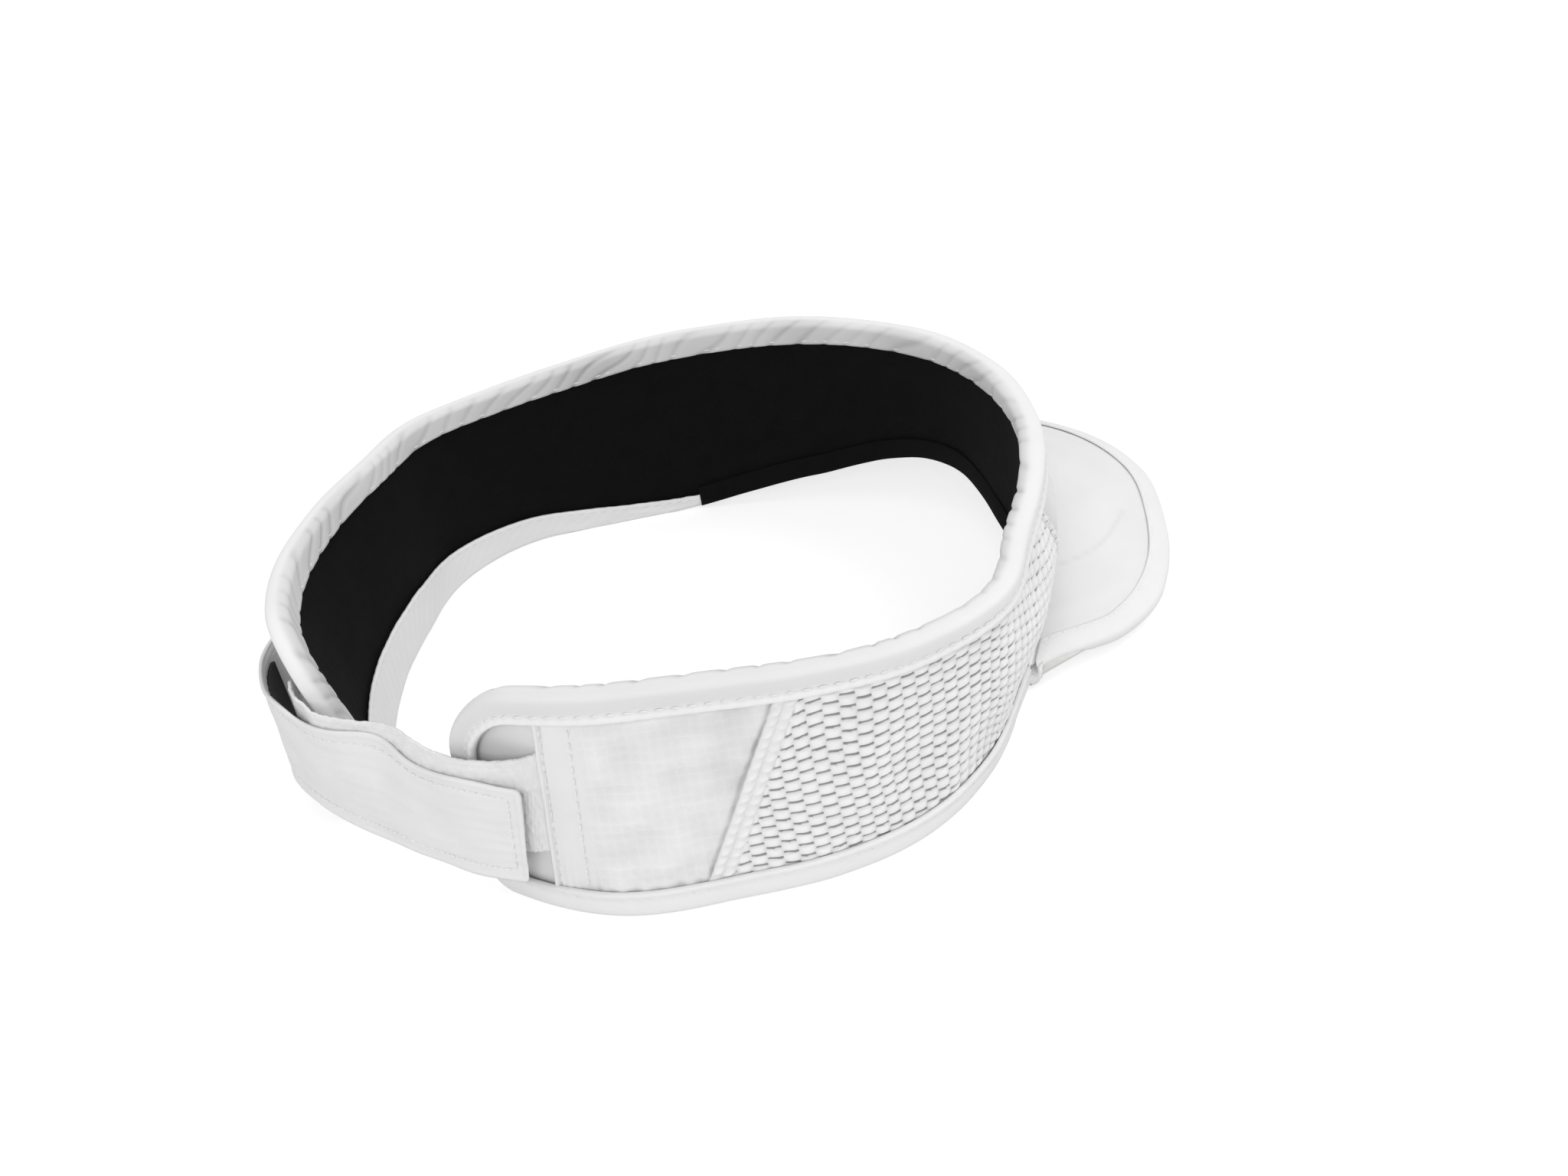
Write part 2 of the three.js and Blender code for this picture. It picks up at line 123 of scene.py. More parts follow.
# %% Light the scene
world_level = 0.6
world = bpy.data.worlds.new("studio")
bpy.context.scene.world = world
world.use_nodes = True
tree = world.node_tree
tree.nodes.clear()
backdrop = add_node(tree, "ShaderNodeMixShader", {
    0: seen_plainly(tree),
    1: add_node(tree, "ShaderNodeBackground", {"Color": grey(world_level)}).outputs[0],
    2: add_node(tree, "ShaderNodeBackground", {"Color": grey(1)}).outputs[0]})
add_node(tree, "ShaderNodeOutputWorld", {0: backdrop.outputs[0]})


def add_lamp(name, place, size, power):
    data = bpy.data.lights.new(name, "AREA")
    data.shape = "DISK"
    data.size = size
    data.energy = power
    lamp = bpy.data.objects.new(name, data)
    lamp.location = place
    lamp.rotation_euler = (-Vector(place)).to_track_quat("-Z", "Y").to_euler()
    bpy.context.scene.collection.objects.link(lamp)
    print(name, power, "W")


add_lamp("lamp_above", (-0.25, 0.15, 1.35), 0.9, 2.2)
add_lamp("lamp_right", (0.85, -0.35, 1.15), 0.7, 5.5)
add_lamp("lamp_left", (-0.75, -0.85, 0.75), 0.6, 5.3)

# %% [markdown]
# The floor glows faintly toward the camera, so that it looks as white as the background and
# still takes a soft shadow. For the light that bounces onto the cloth it is plain pale grey.

# %% Lay the floor
floor_half_width = 3
bounce_grey, shadow_grey, floor_glow = 0.8, 0.42, 0.72
floor_grid = bmesh.new()
bmesh.ops.create_grid(floor_grid, x_segments=1, y_segments=1, size=floor_half_width)
floor_mesh = bpy.data.meshes.new("floor")
floor_grid.to_mesh(floor_mesh)
floor_grid.free()
floor = bpy.data.objects.new("floor", floor_mesh)
bpy.context.scene.collection.objects.link(floor)
floor_paint = bpy.data.materials.new("pale_floor")
floor_paint.use_nodes = True
tree = floor_paint.node_tree
tree.nodes.clear()
bright_floor = add_node(tree, "ShaderNodeAddShader", {
    0: add_node(tree, "ShaderNodeBsdfDiffuse", {"Color": grey(shadow_grey)}).outputs[0],
    1: add_node(tree, "ShaderNodeEmission", {"Strength": floor_glow}).outputs[0]})
floor_look = add_node(tree, "ShaderNodeMixShader", {
    0: seen_plainly(tree),
    1: add_node(tree, "ShaderNodeBsdfDiffuse", {"Color": grey(bounce_grey)}).outputs[0],
    2: bright_floor.outputs[0]})
add_node(tree, "ShaderNodeOutputMaterial", {0: floor_look.outputs[0]})
floor_mesh.materials.append(floor_paint)
print("floor", 2 * floor_half_width, "m wide")

# %% [markdown]
# Cloth is matt, a little uneven in tone, and has a grain as fine as its threads. Three effects
# serve every fabric here: a woven grain, a soft mottling, and the slits of the knitted net.
# Each is a node group that reads the cloth's own flat pattern, so it follows every fold.

# %% Group for woven grain
fibre_scale, fibre_detail, thread_height = 3.2, 4, 0.25


def new_group(name, inputs, outputs):
    group = bpy.data.node_groups.new(name, "ShaderNodeTree")
    for title, kind, value in inputs:
        socket = group.interface.new_socket(title, in_out="INPUT", socket_type=kind)
        if value is not None:
            socket.default_value = value
    for title, kind in outputs:
        group.interface.new_socket(title, in_out="OUTPUT", socket_type=kind)
    return group, add_node(group, "NodeGroupInput"), add_node(group, "NodeGroupOutput")


def wave_of(tree, value, pitch):
    return calculate(tree, "SINE", calculate(tree, "DIVIDE",
                     calculate(tree, "MULTIPLY", value, 2 * math.pi), pitch))


weave_group, given, result = new_group(
    "woven_grain", [("Pattern", "NodeSocketVector", None), ("Thread", "NodeSocketFloat", 0.35),
                    ("Nap", "NodeSocketFloat", 0.5)], [("Height", "NodeSocketFloat")])
split = add_node(weave_group, "ShaderNodeSeparateXYZ", {0: given.outputs["Pattern"]})
over_under = calculate(weave_group, "MULTIPLY",
                       wave_of(weave_group, split.outputs[0], given.outputs["Thread"]),
                       wave_of(weave_group, split.outputs[1], given.outputs["Thread"]))
fibres = add_node(weave_group, "ShaderNodeTexNoise", {
    "Vector": given.outputs["Pattern"], "Scale": fibre_scale, "Detail": fibre_detail})
nap = calculate(weave_group, "MULTIPLY", fibres.outputs["Fac"], given.outputs["Nap"])
grain_height = calculate(weave_group, "ADD", nap,
                         calculate(weave_group, "MULTIPLY", over_under, thread_height))
feed(weave_group, result.inputs[0], grain_height)

# %% Group for soft mottling
mottle_group, given, result = new_group(
    "soft_mottling", [("Pattern", "NodeSocketVector", None), ("Size", "NodeSocketFloat", 12.0),
                      ("Depth", "NodeSocketFloat", 0.05)], [("Level", "NodeSocketFloat")])
cloud_scale = calculate(mottle_group, "DIVIDE", 1.0, given.outputs["Size"])
cloud = add_node(mottle_group, "ShaderNodeTexNoise",
                 {"Vector": given.outputs["Pattern"], "Scale": cloud_scale, "Detail": 3})
centred = calculate(mottle_group, "SUBTRACT", cloud.outputs["Fac"], 0.5)
swing = calculate(mottle_group, "MULTIPLY", given.outputs["Depth"], 2.0)
feed(mottle_group, result.inputs[0], calculate(mottle_group, "MULTIPLY_ADD", centred, swing, 1.0))

# %% [markdown]
# The side panels are a puffed net: small cushions in staggered columns, each over a slit that
# lets air through. The same measures serve twice, to carve the cloth and to darken the slits:
# their dark is partly painted shade in them and partly the black lining that a real slit shows.

# %% Measures of the net, in millimetres
cell_width, cell_height = 3.5, 2.9
slit_half_length, slit_half_width = 1.35, 0.28
slit_drop = 0.36
slit_fade_out, slit_fade_in = 0.16, 0.06


def net_cells(along, up):
    """Place inside each cell of the net, from -0.5 to 0.5 both ways"""
    column = np.floor(along / cell_width)
    across_cell = along / cell_width - column - 0.5
    raised = up / cell_height + 0.5 * np.mod(column, 2)
    return across_cell, raised - np.floor(raised) - 0.5

# %% Group for the slits of the net
slit_group, given, result = new_group(
    "net_slits", [("Pattern", "NodeSocketVector", None)], [("Slit", "NodeSocketFloat")])


def slit_step(operation, *values):
    return calculate(slit_group, operation, *values)


split = add_node(slit_group, "ShaderNodeSeparateXYZ", {0: given.outputs["Pattern"]})
column_place = slit_step("DIVIDE", split.outputs[0], cell_width)
across_cell = slit_step("SUBTRACT", slit_step("FRACT", column_place), 0.5)
odd_column = slit_step("FLOORED_MODULO", slit_step("FLOOR", column_place), 2.0)
row_place = slit_step("ADD", slit_step("DIVIDE", split.outputs[1], cell_height),
                      slit_step("MULTIPLY", odd_column, 0.5))
up_cell = slit_step("SUBTRACT", slit_step("FRACT", row_place), 0.5)
from_middle = slit_step("MULTIPLY", slit_step("ABSOLUTE", across_cell), cell_width)
past_end = slit_step("MAXIMUM", slit_step("SUBTRACT", from_middle, slit_half_length), 0.0)
off_line = slit_step("MULTIPLY", slit_step("ADD", up_cell, slit_drop), cell_height)
reach = slit_step("SQRT", slit_step("ADD", slit_step("MULTIPLY", past_end, past_end),
                                    slit_step("MULTIPLY", off_line, off_line)))
fade = add_node(slit_group, "ShaderNodeMapRange",
                {"Value": reach, "From Min": slit_half_width + slit_fade_out,
                 "From Max": slit_half_width - slit_fade_in}, interpolation_type="SMOOTHSTEP")
feed(slit_group, result.inputs[0], fade.outputs["Result"])

# %% [markdown]
# One recipe makes every fabric. The base colour is the dye times the piece's shade value, which
# paints shade where it is low, such as in a groove or a pucker that the light rarely reaches, and
# paints light where it is above 1. Wear and dust gather as a faint mottling, and the grain tilts
# the surface through a bump.

# %% Recipe for fabrics
grain_depth = 0.00004


def finish_shader(tree, values):
    for key, value in values.items():
        feed(tree, tree.nodes["Principled BSDF"].inputs[key], value)


def fabric(name, level, roughness, thread, nap, bump, mottle, sheen=0.1, slits=None, shine=0.25):
    """level is the brightness of the dye; slits is what is left of it in the slits of a net"""
    material = bpy.data.materials.new(name)
    material.use_nodes = True
    tree = material.node_tree
    pattern = add_node(tree, "ShaderNodeUVMap", uv_map="pattern").outputs[0]
    shade = add_node(tree, "ShaderNodeAttribute", attribute_name="shade").outputs["Fac"]
    mottling = add_node(tree, "ShaderNodeGroup", {
        "Pattern": pattern, "Size": mottle[0], "Depth": mottle[1]}, node_tree=mottle_group)
    grain = add_node(tree, "ShaderNodeGroup", {
        "Pattern": pattern, "Thread": thread, "Nap": nap}, node_tree=weave_group)
    value = calculate(tree, "MULTIPLY", calculate(tree, "MULTIPLY", shade, level),
                      mottling.outputs[0])
    # Darker in the slits: painted shade in them, and the black lining that a real slit shows
    if slits is not None:
        holes = add_node(tree, "ShaderNodeGroup", {0: pattern}, node_tree=slit_group)
        plain = add_node(tree, "ShaderNodeAttribute", attribute_name="plain").outputs["Fac"]
        open_share = calculate(tree, "MULTIPLY", holes.outputs[0],
                               calculate(tree, "SUBTRACT", 1.0, plain))
        value = calculate(tree, "MULTIPLY", value, calculate(
            tree, "SUBTRACT", 1.0, calculate(tree, "MULTIPLY", open_share, 1.0 - slits)))
    # Base colour: the dye times the painted shade and light of the shade value, the mottling and
    # the darker slits
    dye_with_painted_shade = add_node(tree, "ShaderNodeCombineColor", {0: value, 1: value, 2: value})
    relief = add_node(tree, "ShaderNodeBump", {
        "Strength": bump, "Distance": grain_depth, "Height": grain.outputs[0]})
    finish_shader(tree, {
        "Base Color": dye_with_painted_shade.outputs[0], "Roughness": roughness, "Sheen Weight": sheen,
        "Sheen Roughness": 0.6, "Specular IOR Level": shine, "Normal": relief.outputs[0]})
    print("fabric", name)
    return material


# Brightness of the dye, roughness, thread in mm, nap, bump, size and depth of the mottling
plain_cloth = fabric("white_microfibre", 0.8, 0.8, 0.4, 0.8, 0.5, (11.0, 0.05))
net_cloth = fabric("puffed_net", 0.85, 0.85, 0.5, 0.8, 0.5, (9.0, 0.06), slits=0.4)
binding_cloth = fabric("stretch_binding", 0.83, 0.75, 0.32, 0.5, 0.35, (14.0, 0.03))
lining_cloth = fabric("black_brushed_lining", 0.004, 0.95, 0.7, 1.6, 1.0, (6.0, 0.4), sheen=0.0,
                      shine=0.12)
hook_cloth = fabric("black_hook_tape", 0.014, 0.55, 1.2, 0.8, 1.0, (5.0, 0.2), sheen=0.0)
loop_cloth = fabric("white_loop_pile", 0.8, 0.95, 0.9, 2.4, 1.0, (4.0, 0.1), sheen=0.3)
thread_cloth = fabric("white_thread", 0.86, 0.6, 0.3, 0.3, 0.3, (8.0, 0.04))

# %% [markdown]
# The band is an oval wall with soft bends. Stations round the head give its radius at the
# bottom and the top, and a smooth curve runs through them. Between its bindings the soft wall
# bulges, most of all at the right front. Every wall cloth is placed by the angle round
# the head, the height on the wall and the distance out, all in the model's own measures.

# %% The oval wall, in millimetres
bottom_radius = [91.5, 91, 86, 84, 84.5, 87.5, 93.5, 93, 87, 84.5, 84, 85.5,
                 87.5, 89, 89.5, 89, 87, 88, 88, 84.5, 81.5, 83.5, 88, 88.5]
top_radius = [89.5, 88.5, 88.5, 88, 88, 86, 87, 90, 88, 91.5, 96, 98.5,
              99, 93, 87, 83, 82.5, 85.5, 90, 92.5, 87, 87, 88.5, 89.5]
belly = [2.4, 2, 2, 2, 1.5, 0.6, 0, 0, 0, 0, 0, 0,
         0, 0, 0, 0, 0, 0, 0, 1.6, 5, 4.4, 4.6, 5.4]
# Heights of the lower and the upper edge over the ground, which the front doesn't touch
bottom_rise = [19, 9, 0, 0.4, 0.6, 0.2, 0.2, 0, 0.6, 0, 0.2, 9]
top_rise = [58, 56.5, 54, 54, 56, 54.5, 54, 57, 57, 54, 53.5, 56.5]
stand_cut = 0.6
right_end, left_end = -160.0, 172.0
end_tuck, end_tuck_angle = 3.4, 26.0
degrees_per_mm = 180 / (math.pi * np.mean(bottom_radius + top_radius))
gap_angle = 0.3 * degrees_per_mm
mm = 0.001


def smooth(share):
    share = np.clip(share, 0, 1)
    return share * share * (3 - 2 * share)


def mix(a, b, share):
    return a + (b - a) * share


def ridge(value, middle, width):
    """1 at the middle, falling off softly on both sides"""
    return np.exp(-((value - middle) / width) ** 2)


def half_round(value, middle, radius):
    """Height of a half circle, as of a cord that lies in a seam"""
    return np.sqrt(np.clip(1 - ((value - middle) / radius) ** 2, 0, 1))


def ripple(distance, pitch):
    return np.cos(2 * math.pi * distance / pitch)


def station_value(values, angle):
    count = len(values)
    values = np.array(values, float)
    place = np.mod(np.asarray(angle, float) / 360 * count, count)
    index = np.floor(place).astype(int)
    t = place - index
    a, b, c, d = (values[(index + step) % count] for step in (-1, 0, 1, 2))
    return 0.5 * (2 * b + (c - a) * t + (2 * a - 5 * b + 4 * c - d) * t**2
                  + (3 * b - a - 3 * c + d) * t**3)


def wall_low(angle):
    return station_value(bottom_rise, angle) - stand_cut


def wall_height(angle):
    return station_value(top_rise, angle) - station_value(bottom_rise, angle)


def bulge(angle, share):
    return station_value(belly, angle) * np.sin(math.pi * np.clip(share, 0, 1)) ** 2.5


def wall(angle, height, out):
    """Points of the wall, in millimetres"""
    share = height / wall_height(angle)
    tuck = end_tuck * smooth(1 - (angle - right_end) / end_tuck_angle)
    radius = mix(station_value(bottom_radius, angle), station_value(top_radius, angle), share)
    radius = radius - tuck + bulge(angle, share) + out
    turn = np.radians(angle)
    return np.stack([radius * np.cos(turn), radius * np.sin(turn), wall_low(angle) + height], -1)

# %% Edges of the wall cloths, drawn in under the bindings
edge_inset = 1.6
upper_corner, lower_corner = 18.0, 8.0


def corner_drop(radius, distance):
    reach = 1 - np.clip(distance / radius, 0, 1)
    return radius * (1 - np.sqrt(1 - reach * reach))


def from_end(angle):
    return np.minimum(angle - right_end, left_end - angle) / degrees_per_mm - edge_inset


def upper_edge(angle):
    return wall_height(angle) - edge_inset - corner_drop(upper_corner - edge_inset, from_end(angle))


def lower_edge(angle):
    return edge_inset + corner_drop(lower_corner - edge_inset, from_end(angle))


print("the band is", round((left_end - right_end) / degrees_per_mm), "mm round")

# %% [markdown]
# A cloth starts as a flat grid. Its vertices learn where they go, its UV map keeps the flat
# pattern in millimetres, and a shade value darkens what the light rarely reaches. Solidify
# then gives the cloth its thickness, away from the side that shows.

# %% Cut and wrap a cloth, and hide the solid parts it replaces
noise_waves, noise_peak = 10, 4.5
least_height = 0.0001


def soft_noise(along, up, size, seed):
    """Smooth wandering value of about -1 to 1, the same on every run"""
    draw = np.random.default_rng(seed)
    total = 0
    for _ in range(noise_waves):
        turn, phase = draw.uniform(0, 2 * math.pi), draw.uniform(0, 2 * math.pi)
        scale = draw.uniform(0.7, 1.7)
        total = total + np.sin((along * math.cos(turn) + up * math.sin(turn))
                               * 2 * math.pi / (size * scale) + phase)
    return total / noise_peak


def new_piece(name, mesh, material, values):
    """A smooth object of one material that keeps named values on its vertices"""
    for title, value in values.items():
        layer = mesh.attributes.new(title, "FLOAT", "POINT")
        spread = np.broadcast_to(value, len(mesh.vertices)).astype(np.float32)
        layer.data.foreach_set("value", spread)
    mesh.polygons.foreach_set("use_smooth", [True] * len(mesh.polygons))
    mesh.materials.append(material)
    piece = bpy.data.objects.new(name, mesh)
    bpy.context.scene.collection.objects.link(piece)
    return piece


def cut_cloth(name, columns, rows, shape, thickness, material, body="headband", flip=False,
              **choices):
    """shape(s, t, **choices) gives points and the flat pattern in mm, and named values"""
    cloth = bmesh.new()
    bmesh.ops.create_grid(cloth, x_segments=columns, y_segments=rows, size=0.5)
    if flip:
        bmesh.ops.reverse_faces(cloth, faces=cloth.faces)
    mesh = bpy.data.meshes.new(name)
    cloth.to_mesh(mesh)
    cloth.free()
    flat = np.empty(len(mesh.vertices) * 3)
    mesh.vertices.foreach_get("co", flat)
    flat = flat.reshape(-1, 3) + 0.5
    points, along, up, values = shape(flat[:, 0], flat[:, 1], **choices)
    points = points * mm
    points[:, 2] = np.maximum(points[:, 2], least_height)
    mesh.vertices.foreach_set("co", points.ravel())
    corner = np.empty(len(mesh.loops), int)
    mesh.loops.foreach_get("vertex_index", corner)
    pattern = mesh.uv_layers.new(name="pattern")
    pattern.data.foreach_set("uv", np.stack([along, up], -1)[corner].ravel())
    piece = new_piece(name, mesh, material, {"shade": 1.0, **values})
    thicken = piece.modifiers.new("thickness", "SOLIDIFY")
    thicken.thickness = thickness * mm
    thicken.offset = -1
    if body:
        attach(piece, body)
    print(name, len(mesh.polygons), "faces")
    return piece


def declare(nodes):
    if nodes:
        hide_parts(*nodes)

# %% [markdown]
# The lining is one long strip of brushed black jersey, round the whole inside of the band. It
# lies close to the outer cloths and shows only faint waves, so a plain strip with a few
# hundred columns is enough, crowded a little where its two ends are cut round.

# %% Sew in the lining
lining_depth, end_crowding = 1.45, 0.09


def lining_shape(s, t):
    edge = edge_inset * degrees_per_mm
    crowded = s - end_crowding * np.sin(2 * math.pi * s)
    angle = mix(right_end + edge, left_end - edge, crowded)
    height = mix(lower_edge(angle), upper_edge(angle), t)
    along = angle / degrees_per_mm
    out = 0.12 * soft_noise(along, height, 16, 3) + 0.05 * soft_noise(along, height, 3, 4)
    out = out - lining_depth - bulge(angle, height / wall_height(angle))
    return wall(angle, height, out), along, height, {}


lining = cut_cloth("lining_cloth", 420, 34, lining_shape, 0.9, lining_cloth)
declare(["lining"])

# %% [markdown]
# Each side panel is the puffed net. The pattern is bent a little before it is used, because
# a real net is stretched unevenly and its rows of slits tilt in groups. Toward the back it is
# gathered into two rows of small ruffles along a slanted seam.

# %% Seams of the wall, in degrees at the bottom and the top
front_seam = (32.0, 48.5)
brim_root_angle = 54.0
back_seam = (126.0, 109.0)
hem_angle = {"right": 146.0, "left": 138.0}
hem_width = 9.0
ruffle_row = 2.8


def seam_distances(first, last, share):
    """How far a place lies from the first and the last seam of its panel, in mm"""
    width = np.abs(last - first) / degrees_per_mm
    return share * width, (1 - share) * width


def under_net(seam_mm):
    """A cloth dips under the edge of the net where the two are sewn together"""
    return 0.4 * (1 - smooth((seam_mm - 1.2) / 1.4))


def cloth_foot(angle):
    """The cloths reach the very bottom where the brim is joined, and no tape covers them"""
    at_brim = smooth((brim_root_angle - np.abs(angle)) / 1.5)
    return mix(lower_edge(angle), 0.3, at_brim)


cushion_height, slit_depth, ruffle_height, ruffle_pitch = 0.62, 0.5, 1.15, 2.5
rope_at, rope_height, groove_at, groove_depth = 1.3, 0.8, 2.9, 0.3


def net_shape(s, t, hand, seed):
    share = s if hand > 0 else 1 - s
    first, last = mix(*front_seam, t) * hand, mix(*back_seam, t) * hand
    angle = mix(first + hand * gap_angle, last, share)
    height = mix(cloth_foot(angle), upper_edge(angle), t)
    along = angle / degrees_per_mm
    bent_along = along + 0.5 * soft_noise(along, height, 30, seed)
    bent_up = height + 0.9 * soft_noise(along, height * 0.5, 24, seed + 1)
    across_cell, up_cell = net_cells(bent_along, bent_up)
    cushion = (1 - np.abs(2 * across_cell) ** 2.6) * np.clip(
        np.cos(math.pi * (up_cell - 0.1)), 0, 1) ** 0.6
    slit = ridge((up_cell + slit_drop) * cell_height, 0, 0.34) \
        * smooth((0.5 - np.abs(across_cell)) * 8)
    front_mm, seam_mm = seam_distances(first, last, share)
    edge_mm = np.minimum(height, wall_height(angle) - height)
    in_ruffles = seam_mm < 2 * ruffle_row
    plain = 1 - smooth((seam_mm - 2 * ruffle_row) / 0.4) * smooth((front_mm - 1.2) / 0.4)
    row = np.mod(seam_mm / ruffle_row, 1)
    swell = np.sin(math.pi * row) ** 0.7 * (0.62 + 0.38 * np.sin(
        2 * math.pi * (height / ruffle_pitch + 0.5 * np.floor(seam_mm / ruffle_row))
        + 1.2 * soft_noise(along, height, 8, seed + 2)))
    free = smooth((edge_mm - 5.6) / 1.6)
    out = 0.35 + 0.2 * soft_noise(along, height, 18, seed + 3) * free
    out = out + (1 - plain) * free * (cushion_height * cushion - slit_depth * slit)
    ruffled = np.where(in_ruffles, free, 0)
    rope, groove = ridge(front_mm, rope_at, 0.7), ridge(front_mm, groove_at, 0.5)
    out = out + ruffle_height * swell * ruffled + rope_height * rope - groove_depth * groove
    # Painted shade: darker round each cushion, in the folds between the ruffles, in the groove
    # beside the seam's rope and at the front seam's edge
    shade = 1.04 - 0.13 * (1 - plain) * (1 - cushion) - 0.14 * ruffled * (1 - swell)
    shade = shade - 0.2 * groove - 0.1 * ridge(front_mm, 0, 0.5)
    return wall(angle, height, out), bent_along, bent_up, {"plain": plain, "shade": shade}


for side, hand, seed in (("right", -1, 21), ("left", 1, 31)):
    net = cut_cloth(f"net_cloth_{side}", 330, 122, net_shape, 0.8, net_cloth,
                    hand=hand, seed=seed)
    declare([f"mesh_panel_{side}"])

# %% [markdown]
# The back panels are thin ripstop, which creases in soft blotches and puckers along the
# stitched bindings. Every few threads a thicker one runs both ways, which stops a tear.

# %% Sew on the ripstop panels
def puckers(along, from_edge, pitch, depth, seed):
    """Small pleats that fade within a few millimetres of a stitched edge"""
    wander = 1.6 * soft_noise(along, from_edge, 17, seed)
    strength = depth * (0.6 + 0.4 * soft_noise(along, 0 * along, 11, seed + 1))
    fading = np.exp(-np.clip(from_edge, 0, None) / 4.5)
    return strength * fading * np.sin(2 * math.pi * along / pitch + wander)


seam_allowance = 1.4
ripstop_pitch, thick_thread_height = 2.4, 0.035
hem_slant, hem_shift = 2.2, 0.6
tape_edge = 6.0


def hem_line(hem, hand, share):
    """Angle of a hem at a share of the wall's height; the right one slants"""
    return hand * (hem + (hem_slant * (1 - share) - hem_shift if hand < 0 else 0))


def ripstop_shape(s, t, hand, hem, seed):
    share = s if hand > 0 else 1 - s
    first = (mix(*back_seam, t) - seam_allowance * degrees_per_mm) * hand
    last = hem_line(hem, hand, t)
    angle = mix(first, last, share)
    height = mix(lower_edge(angle), upper_edge(angle), t)
    along = angle / degrees_per_mm
    seam_mm, hem_mm = seam_distances(first, last, share)
    top_mm, bottom_mm = wall_height(angle) - height - tape_edge, height - tape_edge
    away = smooth((hem_mm - hem_width) / 2)
    free = smooth((hem_mm - hem_width) / 5) * smooth(np.minimum(top_mm, bottom_mm) / 4 + 0.5)
    wide, small = soft_noise(along, height, 15, seed), soft_noise(along, height, 7, seed + 1)
    fine = soft_noise(along, height, 3, seed + 4)
    thick_thread = np.maximum(ripple(along, ripstop_pitch), ripple(height, ripstop_pitch)) ** 9
    out = 0.05 + free * (0.6 * wide + 0.3 * small + 0.08 * fine)
    out = out + away * (puckers(along, top_mm, 5.2, 0.45, seed + 2)
                        + puckers(along, bottom_mm, 4.4, 0.38, seed + 3)
                        + 0.3 * ridge(seam_mm, 4.2, 1.6)
                        + thick_thread_height * thick_thread)
    out = out - under_net(seam_mm)
    # Painted shade: darker in the line of the back seam and where the creases sink, lighter where
    # they rise, and darker over a broad slanting zone beside the back seam's upper part, though the
    # cloth is not dented there
    slanting_shade = ridge(seam_mm, 7 + 0.5 * (height - 36), 6) * smooth((height - 22) / 12)
    shade = 1 - 0.12 * ridge(seam_mm, seam_allowance, 0.6)
    shade = shade + 0.04 * (thick_thread - 0.5) * away
    shade = shade + free * (0.035 * wide + 0.03 * small - 0.09 * slanting_shade)
    return wall(angle, height, out), along, height, {"shade": shade}


for side, hand, seed in (("right", -1, 41), ("left", 1, 51)):
    panel = cut_cloth(f"ripstop_cloth_{side}", 150, 140, ripstop_shape, 0.7, plain_cloth,
                      hand=hand, hem=hem_angle[side], seed=seed)
    declare([f"back_panel_{side}"])

# %% [markdown]
# The front panel is plain cloth over a stiff backing. It only creases a little beside the
# seams to the net, where the wall begins to bend.

# %% Sew on the front cloth
def front_shape(s, t):
    edge = mix(*front_seam, t) + seam_allowance * degrees_per_mm
    angle = mix(-edge, edge, s)
    height = mix(cloth_foot(angle), upper_edge(angle), t)
    along = angle / degrees_per_mm
    seam_mm = np.minimum(s, 1 - s) * 2 * edge / degrees_per_mm
    out = 0.55 + 0.12 * soft_noise(along, height, 20, 61) - 1.6 * under_net(seam_mm)
    near_seam = 1 - smooth((seam_mm - 2) / 9)
    crease = soft_noise(along, height * 0.6, 7, 62)
    out = out + 0.25 * near_seam * crease
    # Painted shade: darker near the seams to the net, less so where the creases rise
    shade = 1 - near_seam * (0.1 - 0.07 * crease)
    return wall(angle, height, out), along, height, {"shade": shade}


front = cut_cloth("front_cloth", 150, 50, front_shape, 0.7, plain_cloth)
declare(["front_panel"])

# %% [markdown]
# Behind each hem a single thin cloth carries on to the end of the band. Its corners are
# round, and the closure hides most of it.

# %% Sew in the end cloths
def end_shape(s, t, hand, hem, seed):
    end = right_end if hand < 0 else left_end
    share = s if hand > 0 else 1 - s
    edge = end - hand * edge_inset * degrees_per_mm
    angle = mix(hem_line(hem, hand, t) - hand * gap_angle, edge, np.sin(share * math.pi / 2))
    height = mix(lower_edge(angle), upper_edge(angle), t)
    along = angle / degrees_per_mm
    out = -0.35 + 0.1 * soft_noise(along, height, 9, seed)
    # Painted shade: the end cloths are a little darker all over, as they lie behind the closure
    return wall(angle, height, out), along, height, {"shade": 0.95}


for side, hand, width, seed in (("right", -1, 20, 71), ("left", 1, 51, 81)):
    panel = cut_cloth(f"end_cloth_{side}", 50, 50, end_shape, 0.5, plain_cloth,
                      hand=hand, hem=hem_angle[side], seed=seed)
    declare([f"end_panel_{side}"])

# %% [markdown]
# A hem is the cloth turned back on itself and stitched twice, with a thin roll at its edge.

# %% Fold the hems
hem_rows = {"edge": 1.5, "fold": hem_width - 0.8}
hem_foot, hem_roll_at, hem_roll_radius, hem_roll_height, dimple_pitch = 5.0, 0.55, 0.6, 0.7, 2.2


